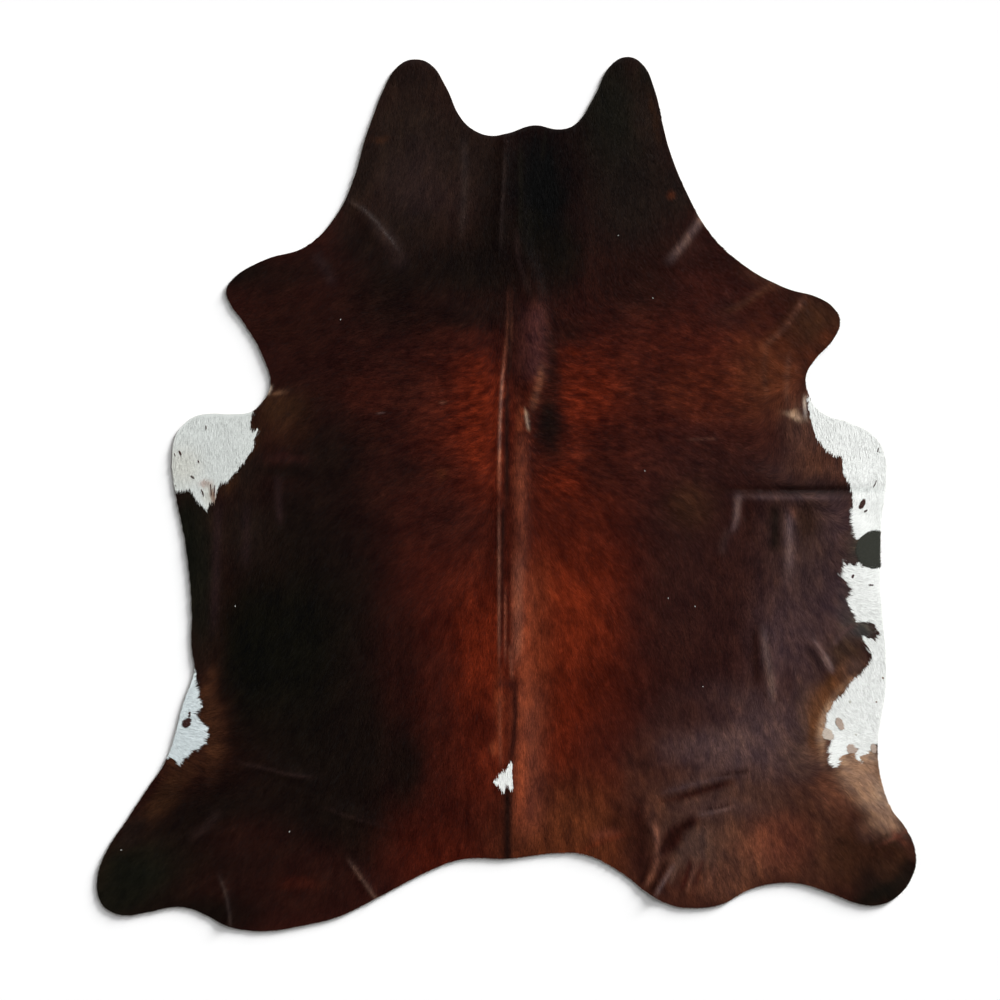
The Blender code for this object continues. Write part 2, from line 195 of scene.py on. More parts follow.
BASE = "mahogany"
PATCHES = [Patch(*row) for row in (
    # colour, x, y, half width, half height, turn, share
    # the left side, from broad to fine
    ("umber", -0.53, -0.25, 0.28, 0.62, 0, 1.0),
    ("soot", -0.45, -0.66, 0.24, 0.18, 0, 1.0),
    ("soot", -0.44, -0.33, 0.13, 0.33, 0, 0.9),
    ("soot", -0.54, -0.08, 0.09, 0.09, 0, 0.8),
    ("soot", -0.45, 0.09, 0.09, 0.10, 0, 0.7),
    ("pitch", -0.65, -0.40, 0.08, 0.22, 0, 0.9),
    ("pitch", -0.55, -0.38, 0.14, 0.22, 0, 0.9),
    ("sepia", -0.66, -0.09, 0.07, 0.10, 0, 0.9),
    ("sepia", -0.66, 0.06, 0.06, 0.06, 0, 0.8),
    ("olive", -0.77, -0.20, 0.05, 0.26, 0, 1.0),
    ("moss", -0.805, -0.12, 0.045, 0.16, 0, 1.0),
    ("bark", -0.56, 0.21, 0.07, 0.05, 0, 0.9),
    ("walnut", -0.55, 0.155, 0.05, 0.04, 0, 0.4),
    ("bark", -0.64, 0.14, 0.03, 0.05, -20, 0.8),
    ("soot", -0.56, 0.055, 0.07, 0.018, 0, 0.7),
    ("plum", -0.55, 0.09, 0.05, 0.013, 0, 0.6),
    ("bark", -0.70, 0.03, 0.025, 0.04, -30, 0.7),
    # the left hind leg
    ("soot", -0.72, -0.83, 0.24, 0.15, 0, 1.0),
    ("moss", -0.93, -0.95, 0.15, 0.11, 0, 1.0),
    ("umber", -0.62, -0.92, 0.11, 0.11, 0, 0.9),
    ("cocoa", -0.49, -0.98, 0.14, 0.08, 0, 0.9),
    ("oxblood", -0.52, -0.975, 0.05, 0.02, 0, 0.4),
    ("soot", -0.42, -0.81, 0.15, 0.07, -10, 0.9),
    ("soot", -0.36, -0.87, 0.07, 0.07, 0, 0.8),
    ("cocoa", -0.65, -0.86, 0.13, 0.05, 0, 0.5),
    ("moss", -0.98, -1.02, 0.12, 0.07, 0, 0.9),
    ("walnut", -0.82, -0.66, 0.05, 0.020, 45, 0.8),
    ("soot", -0.76, -1.05, 0.16, 0.06, 0, 1.0),
    ("walnut", -0.745, -0.52, 0.022, 0.08, -8, 0.9),
    ("walnut", -0.735, -0.61, 0.034, 0.08, 0, 0.9),
    ("walnut", -0.81, -0.70, 0.06, 0.026, 42, 0.9),
    ("bark", -0.86, -0.765, 0.07, 0.030, 48, 0.9),
    ("sepia", -0.94, -0.845, 0.05, 0.025, 50, 0.8),
    # the neck, left of the spine; its grey-brown washes on the near-black hair are partly painted sheen
    ("sepia", -0.06, 0.76, 0.09, 0.20, 0, 1.0),
    ("smoke", -0.24, 0.85, 0.19, 0.26, 0, 1.0),
    ("ash", -0.20, 0.76, 0.12, 0.13, 0, 0.9),
    ("sepia", -0.37, 0.78, 0.035, 0.12, -15, 0.8),
    ("sepia", -0.24, 1.05, 0.10, 0.05, 0, 0.6),
    ("soot", -0.045, 0.60, 0.040, 0.14, 0, 0.9),
    ("sepia", -0.13, 0.85, 0.05, 0.08, 0, 0.6),
    ("walnut", -0.315, 0.89, 0.030, 0.007, -5, 0.6),
    # the neck, right of it; its brown washes around the black column are partly painted sheen
    ("sepia", 0.31, 0.77, 0.14, 0.26, 0, 1.0),
    ("sepia", 0.43, 0.75, 0.05, 0.07, 0, 0.8),
    ("moss", 0.25, 0.98, 0.11, 0.17, 0, 0.9),
    ("smoke", 0.345, 0.93, 0.035, 0.07, 12, 0.8),
    ("night", 0.085, 0.76, 0.120, 0.25, 0, 1.0),
    ("pitch", 0.07, 0.65, 0.05, 0.07, 0, 0.9),
    ("bark", 0.370, 0.94, 0.010, 0.06, 12, 0.8),
    ("saddle", 0.41, 0.748, 0.010, 0.010, 0, 0.6),
    ("moss", 0.37, 1.05, 0.04, 0.05, 0, 0.8),
    # the shoulders
    ("umber", -0.20, 0.46, 0.25, 0.08, 0, 1.0),
    ("soot", -0.17, 0.55, 0.25, 0.08, 0, 1.0),
    ("sepia", -0.22, 0.655, 0.20, 0.06, 0, 0.8),
    ("soot", -0.36, 0.62, 0.06, 0.05, 0, 0.7),
    ("cocoa", -0.54, 0.43, 0.13, 0.08, 0, 0.9),
    ("umber", -0.56, 0.55, 0.16, 0.05, 15, 0.9),
    ("soot", -0.66, 0.555, 0.07, 0.03, 20, 0.9),
    ("soot", 0.13, 0.57, 0.07, 0.08, 0, 0.9),
    ("pitch", 0.14, 0.60, 0.05, 0.07, 0, 0.7),
    ("sorrel", 0.47, 0.28, 0.28, 0.18, 0, 1.0),
    ("cocoa", 0.32, 0.54, 0.14, 0.08, 0, 0.8),
    ("garnet", 0.52, 0.50, 0.12, 0.06, -20, 0.6),
    ("garnet", 0.40, 0.05, 0.15, 0.12, 0, 0.9),
    ("chestnut", 0.67, 0.29, 0.11, 0.13, 0, 0.95),
    ("chestnut", 0.50, 0.25, 0.11, 0.07, 0, 0.5),
    ("plum", 0.55, 0.45, 0.05, 0.05, 0, 0.5),
    ("walnut", 0.77, 0.43, 0.08, 0.07, 0, 0.9),
    ("hickory", 0.66, 0.55, 0.065, 0.032, -18, 0.9),
    ("saddle", 0.80, 0.395, 0.03, 0.02, 35, 0.6),
    ("hazel", 0.74, 0.17, 0.06, 0.07, 0, 0.9),
    ("tawny", 0.75, 0.13, 0.05, 0.05, 0, 0.5),
    ("olive", 0.742, 0.285, 0.008, 0.04, 0, 0.6),
    # the middle, left of the spine
    ("oxblood", -0.10, -0.28, 0.155, 0.74, 0, 0.95),
    ("mahogany", -0.17, -0.05, 0.08, 0.07, 0, 0.6),
    ("rust", -0.06, 0.18, 0.090, 0.17, 0, 0.85),
    ("sorrel", -0.17, 0.19, 0.07, 0.10, 0, 0.3),
    ("mahogany", -0.20, 0.05, 0.12, 0.05, 0, 0.6),
    ("rust", -0.05, -0.40, 0.090, 0.17, 0, 0.95),
    ("russet", -0.05, -0.66, 0.070, 0.13, 0, 0.9),
    ("umber", -0.26, -0.67, 0.055, 0.13, 0, 0.85),
    ("soot", -0.26, -0.69, 0.05, 0.10, 0, 0.7),
    ("oxblood", -0.17, -0.89, 0.14, 0.11, 0, 0.95),
    ("russet", -0.16, -0.92, 0.09, 0.07, 0, 0.6),
    ("mahogany", -0.16, -0.43, 0.05, 0.06, 0, 0.4),
    ("mahogany", -0.17, -0.55, 0.04, 0.07, 0, 0.4),
    ("saddle", -0.16, 0.05, 0.014, 0.020, 0, 0.5),
    ("soot", -0.09, 0.56, 0.14, 0.09, 0, 0.95),
    ("soot", -0.03, 0.65, 0.05, 0.07, 0, 0.8),
    ("umber", -0.10, 0.455, 0.15, 0.045, 0, 0.95),
    ("umber", -0.04, 0.44, 0.05, 0.04, 0, 0.6),
    ("mahogany", -0.09, 0.375, 0.10, 0.025, 0, 0.5),
    ("mahogany", -0.14, -0.08, 0.11, 0.08, 0, 0.5),
    ("umber", -0.26, 0.05, 0.05, 0.05, 0, 0.5),
    ("sorrel", -0.34, 0.25, 0.07, 0.06, 0, 0.3),
    ("umber", -0.25, -0.42, 0.04, 0.14, 0, 0.5),
    ("soot", -0.36, -0.62, 0.06, 0.18, 0, 0.7),
    ("flame", -0.015, -0.515, 0.015, 0.022, 0, 0.6),
    # the middle, right of it
    ("russet", 0.17, -0.28, 0.17, 0.52, 0, 0.95),
    ("russet", 0.29, -0.17, 0.08, 0.09, 0, 0.8),
    ("rust", 0.25, -0.20, 0.05, 0.06, 0, 0.5),
    ("mahogany", 0.25, 0.05, 0.07, 0.05, 0, 0.6),
    ("rust", 0.14, 0.03, 0.05, 0.04, 0, 0.6),
    ("mahogany", 0.35, 0.25, 0.05, 0.05, 0, 0.5),
    ("mahogany", 0.25, 0.14, 0.05, 0.05, 0, 0.6),
    ("rust", 0.49, 0.25, 0.10, 0.07, 0, 0.35),
    ("russet", 0.20, 0.27, 0.11, 0.12, 0, 0.8),
    ("rust", 0.20, 0.24, 0.06, 0.08, 0, 0.6),
    ("cocoa", 0.16, 0.41, 0.05, 0.035, 0, 0.8),
    ("ember", 0.168, 0.352, 0.020, 0.012, 0, 0.6),
    ("umber", 0.108, 0.165, 0.038, 0.080, 0, 0.95),
    ("soot", 0.102, 0.185, 0.022, 0.055, 0, 0.6),
    ("cocoa", 0.115, 0.35, 0.021, 0.12, 0, 0.9),
    ("cocoa", 0.03, 0.32, 0.022, 0.12, 0, 0.5),
    ("ember", 0.16, -0.31, 0.11, 0.15, 0, 0.95),
    ("rust", 0.12, -0.56, 0.10, 0.14, 0, 0.8),
    ("sorrel", 0.25, -0.66, 0.08, 0.11, 0, 0.9),
    ("saddle", 0.17, -0.87, 0.17, 0.15, 0, 1.0),
    # the right side
    ("plum", 0.52, -0.18, 0.21, 0.36, 0, 1.0),
    # mauve and lilac: painted sheen, purple-grey over the brown hair
    ("mauve", 0.80, -0.16, 0.15, 0.32, 0, 1.0),
    ("lilac", 0.71, -0.37, 0.10, 0.14, 0, 0.75),
    ("lilac", 0.84, -0.27, 0.06, 0.10, 0, 0.8),
    ("lilac", 0.83, -0.07, 0.04, 0.06, 0, 0.6),
    ("bark", 0.75, -0.07, 0.028, 0.055, 0, 0.7),
    ("walnut", 0.46, -0.03, 0.06, 0.06, 0, 0.7),
    ("plum", 0.70, -0.49, 0.022, 0.05, 0, 0.6),
    ("hickory", 0.80, 0.08, 0.06, 0.05, -20, 0.7),
    ("tawny", 0.83, 0.06, 0.04, 0.035, 0, 0.9),
    ("hickory", 0.75, 0.06, 0.05, 0.035, 0, 0.6),
    # the heather and mauve washes on the thigh are painted sheen over its brown
    ("heather", 0.60, -0.62, 0.21, 0.13, 5, 0.95),
    ("taupe", 0.74, -0.66, 0.05, 0.05, 0, 0.6),
    ("cedar", 0.37, -0.69, 0.09, 0.10, 0, 0.9),
    ("cedar", 0.44, -0.56, 0.05, 0.05, 0, 0.4),
    ("heather", 0.43, -0.645, 0.06, 0.04, 0, 0.5),
    ("hazel", 0.56, -0.78, 0.22, 0.09, 0, 0.8),
    ("heather", 0.54, -0.79, 0.10, 0.03, 0, 0.5),
    ("plum", 0.49, -0.55, 0.11, 0.045, 0, 0.7),
    ("mauve", 0.48, -0.74, 0.08, 0.04, 0, 0.5),
    ("taupe", 0.76, -0.57, 0.04, 0.10, 0, 0.8),
    ("loam", 0.85, -0.395, 0.050, 0.045, -20, 0.95),
    ("taupe", 0.87, -0.435, 0.040, 0.026, 20, 0.8),
    ("smog", 0.86, -0.29, 0.035, 0.07, 0, 0.4),
    ("smog", 0.895, -0.335, 0.032, 0.024, -20, 1.0),
    ("slate", 0.92, -0.14, 0.055, 0.07, 0, 1.0),
    # the right hind leg
    ("hazel", 0.50, -0.88, 0.15, 0.10, 0, 1.0),
    ("cedar", 0.36, -0.93, 0.06, 0.07, 0, 0.8),
    ("tawny", 0.64, -0.88, 0.09, 0.08, 0, 0.9),
    ("taupe", 0.465, -0.870, 0.060, 0.055, 0, 0.7),
    ("cedar", 0.44, -1.00, 0.10, 0.05, 0, 0.9),
    ("tawny", 0.55, -0.975, 0.07, 0.045, 0, 0.9),
    ("mahogany", 0.417, -0.862, 0.020, 0.036, -25, 1.0),
    ("hickory", 0.78, -0.87, 0.09, 0.14, 0, 0.95),
    ("adobe", 0.68, -0.87, 0.08, 0.07, 0, 0.5),
    ("walnut", 0.87, -0.91, 0.08, 0.08, 0, 0.8),
    ("smoke", 0.95, -0.96, 0.08, 0.05, 25, 0.9),
    ("walnut", 0.98, -0.90, 0.04, 0.02, -40, 0.9),
    ("tawny", 0.83, -0.755, 0.06, 0.05, -20, 0.9),
    ("hazel", 0.905, -0.845, 0.035, 0.025, -40, 0.9),
    ("fawn", 0.885, -0.700, 0.075, 0.045, -40, 1.0),
    ("fawn", 0.935, -0.785, 0.080, 0.038, -50, 1.0),
    ("sand", 0.945, -0.755, 0.040, 0.022, -55, 0.7),
    ("adobe", 0.985, -0.86, 0.035, 0.010, -50, 0.6),
    ("hickory", 1.010, -0.89, 0.03, 0.016, -65, 0.8),
    ("walnut", 0.95, -0.94, 0.04, 0.03, 0, 0.5),
    ("moss", 0.93, -1.01, 0.08, 0.03, 20, 0.8),
    ("olive", 1.00, -0.96, 0.03, 0.05, -20, 0.6),
    # beside the white hair above that leg
    ("honey", 0.805, -0.490, 0.030, 0.070, -35, 0.8),
    ("honey", 0.775, -0.59, 0.018, 0.065, -5, 0.8),
    ("fawn", 0.79, -0.60, 0.012, 0.03, 0, 0.8),
    # tufts of pale or bright hair
    ("caramel", -0.565, 0.258, 0.018, 0.005, 5, 0.3),
    ("cream", -0.592, 0.263, 0.005, 0.007, 0, 0.9),
    ("sand", 0.722, 0.198, 0.028, 0.008, -12, 0.9),
    ("cream", 0.750, 0.220, 0.005, 0.022, 5, 0.8),
    ("flame", -0.027, -0.638, 0.012, 0.018, 0, 0.7),
    ("rosewood", 0.717, -0.045, 0.014, 0.014, 0, 0.6),
    ("orchid", -0.315, 0.202, 0.010, 0.003, 8, 0.7),
    ("rosewood", -0.165, 0.228, 0.008, 0.004, 0, 0.6),
    ("sand", 0.905, -0.655, 0.035, 0.016, -20, 0.8),
    ("sand", 0.845, -0.662, 0.016, 0.012, 0, 0.6),
)]


class Shape(NamedTuple):
    """A patch of pale hair with a crisp border."""

    colour: str
    corners: tuple  # (x, y)


SHAPES = [Shape(*row) for row in (
    ("pearl", (  # high on the left
        (-0.636, 0.208), (-0.639, 0.172), (-0.639, 0.158), (-0.621, 0.165), (-0.629, 0.142),
        (-0.630, 0.118), (-0.644, 0.098), (-0.661, 0.076), (-0.675, 0.058), (-0.696, 0.032),
        (-0.716, 0.028), (-0.724, 0.005), (-0.729, -0.020), (-0.741, -0.021), (-0.751, -0.040),
        (-0.771, -0.020), (-0.781, -0.002), (-0.790, 0.010), (-0.829, 0.010), (-0.900, 0.010),
        (-0.900, 0.260), (-0.650, 0.260),
    )),
    ("chalk", (  # low on the left
        (-0.780, -0.439), (-0.772, -0.472), (-0.769, -0.508), (-0.761, -0.518), (-0.759, -0.532),
        (-0.775, -0.548), (-0.766, -0.565), (-0.746, -0.584), (-0.744, -0.602), (-0.752, -0.624),
        (-0.769, -0.640), (-0.777, -0.638), (-0.789, -0.652), (-0.804, -0.664), (-0.819, -0.685),
        (-0.824, -0.670), (-0.837, -0.660), (-0.849, -0.662), (-0.950, -0.660), (-0.850, -0.430),
    )),
    ("snow", (  # down the right side
        (0.751, 0.235), (0.759, 0.190), (0.775, 0.138), (0.796, 0.110), (0.819, 0.092),
        (0.839, 0.090), (0.841, 0.048), (0.859, 0.020), (0.866, -0.020), (0.859, -0.055),
        (0.866, -0.098), (0.870, -0.120), (0.882, -0.108), (0.905, -0.099), (0.970, -0.096),
        (0.970, -0.176), (0.905, -0.180), (0.888, -0.184), (0.879, -0.170),
        (0.866, -0.181), (0.860, -0.171), (0.850, -0.180), (0.844, -0.168), (0.834, -0.202),
        (0.849, -0.220), (0.861, -0.240), (0.849, -0.265), (0.861, -0.290), (0.874, -0.320),
        (0.899, -0.318), (0.921, -0.326), (0.929, -0.352), (0.921, -0.365), (0.899, -0.358),
        (0.886, -0.348), (0.892, -0.368), (0.905, -0.388), (0.915, -0.402), (0.905, -0.428),
        (0.884, -0.449), (0.866, -0.462), (0.851, -0.485), (0.834, -0.508), (0.816, -0.518),
        (0.811, -0.532), (0.799, -0.558), (0.794, -0.588), (0.816, -0.600), (0.804, -0.638),
        (0.806, -0.670), (0.816, -0.685), (0.830, -0.682), (0.831, -0.658), (0.851, -0.648),
        (0.876, -0.635), (0.869, -0.658), (0.886, -0.672), (0.884, -0.655), (0.906, -0.645),
        (0.916, -0.628), (0.926, -0.625), (1.000, -0.620), (1.000, 0.260), (0.800, 0.260),
    )),
    ("snow", (  # on the spine
        (0.012, -0.665), (0.016, -0.670), (0.014, -0.692), (0.015, -0.728), (0.014, -0.742),
        (0.008, -0.742), (0.004, -0.730), (-0.001, -0.728), (-0.006, -0.748), (-0.016, -0.736),
        (-0.021, -0.725), (-0.029, -0.728), (-0.031, -0.720), (-0.021, -0.705), (-0.009, -0.692),
        (-0.003, -0.690), (0.000, -0.678), (0.008, -0.674),
    )),
)]

# stains on the white hair, and one painted shade of a crease among them
STAINS_AND_CREASE_SHADE = [Patch(*row) for row in (  # over the hair of the shapes alone
    ("bone", -0.81, 0.07, 0.05, 0.05, 0, 0.8),
    ("rose", -0.751, 0.027, 0.018, 0.008, 0, 0.8),
    ("taupe", -0.748, 0.027, 0.006, 0.003, 0, 0.8),
    ("bone", -0.745, 0.000, 0.016, 0.03, 0, 0.8),
    ("caramel", -0.733, -0.005, 0.009, 0.028, 12, 0.9),
    # painted shade along the flank's crease, where it runs on into the white hair
    ("pearl", 0.89, 0.008, 0.06, 0.008, 0, 0.7),
)]


class Spot(NamedTuple):
    """A small oval of short hair of its own colour."""

    colour: str
    x: float
    y: float
    half_width: float
    half_height: float
    turn: float  # degrees, counter-clockwise


SPOTS = [Spot(*row) for row in (
    # colour, x, y, half width, half height, turn
    ("slate", 0.922, -0.139, 0.047, 0.047, 0),
    ("dusk", -0.799, -0.572, 0.008, 0.013, -35),
    ("dusk", -0.7925, -0.552, 0.001, 0.008, -10),
    ("mauve", 0.889, -0.025, 0.006, 0.012, -28),
    ("mauve", 0.8975, -0.0425, 0.005, 0.002, 25),
    ("lilac", 0.929, 0.110, 0.001, 0.005, -15),
    ("lilac", 0.921, 0.025, 0.001, 0.008, -28),
    ("lilac", 0.911, -0.2275, 0.006, 0.002, 0),
    ("lilac", 0.866, -0.206, 0.002, 0.005, -20),
    ("oat", 0.832, -0.572, 0.008, 0.012, 20),
    ("oat", 0.837, -0.582, 0.006, 0.008, -10),
    ("oat", 0.861, -0.637, 0.009, 0.011, 0),
    ("oat", 0.869, -0.641, 0.007, 0.007, 30),
    ("linen", 0.802, -0.600, 0.011, 0.013, 0),
    ("linen", 0.809, -0.607, 0.008, 0.008, 0),
    ("oat", 0.918, -0.636, 0.006, 0.011, 0),
    ("bone", 0.859, -0.520, 0.003, 0.003, 0),
    ("caramel", 0.924, -0.520, 0.003, 0.001, 0),
    ("caramel", 0.941, -0.460, 0.002, 0.002, 0),
    ("bone", 0.874, -0.602, 0.002, 0.003, 0),
    ("mauve", -0.751, 0.165, 0.001, 0.005, 0),
    ("mauve", -0.816, 0.1025, 0.002, 0.006, 30),
    ("mauve", -0.829, 0.0975, 0.001, 0.004, 15),
    ("lilac", -0.770, 0.081, 0.001, 0.004, 30),
    ("mauve", -0.785, 0.0425, 0.006, 0.002, -30),
    ("mauve", -0.739, 0.011, 0.001, 0.014, 5),
    ("lilac", -0.730, 0.008, 0.001, 0.012, -5),
    ("mauve", -0.760, 0.004, 0.001, 0.008, 25),
    ("mauve", -0.829, 0.020, 0.003, 0.003, 0),
)]

SPECKS = (  # (x, y) of single white hairs
    (0.344, 0.060), (0.404, -0.258), (0.471, -0.278), (-0.679, -0.278), (-0.961, -0.888),
    (-0.541, -0.842), (0.281, 0.648), (0.364, 0.492), (-0.414, 0.438), (0.489, -0.480),
)


class Line(NamedTuple):
    """A line of colour over the coat: mostly painted highlights along crests and painted shade along
    grooves, and some lines of the coat's own colour.
    """

    colour: str
    half_width: float
    share: float
    route: tuple  # (x, y)


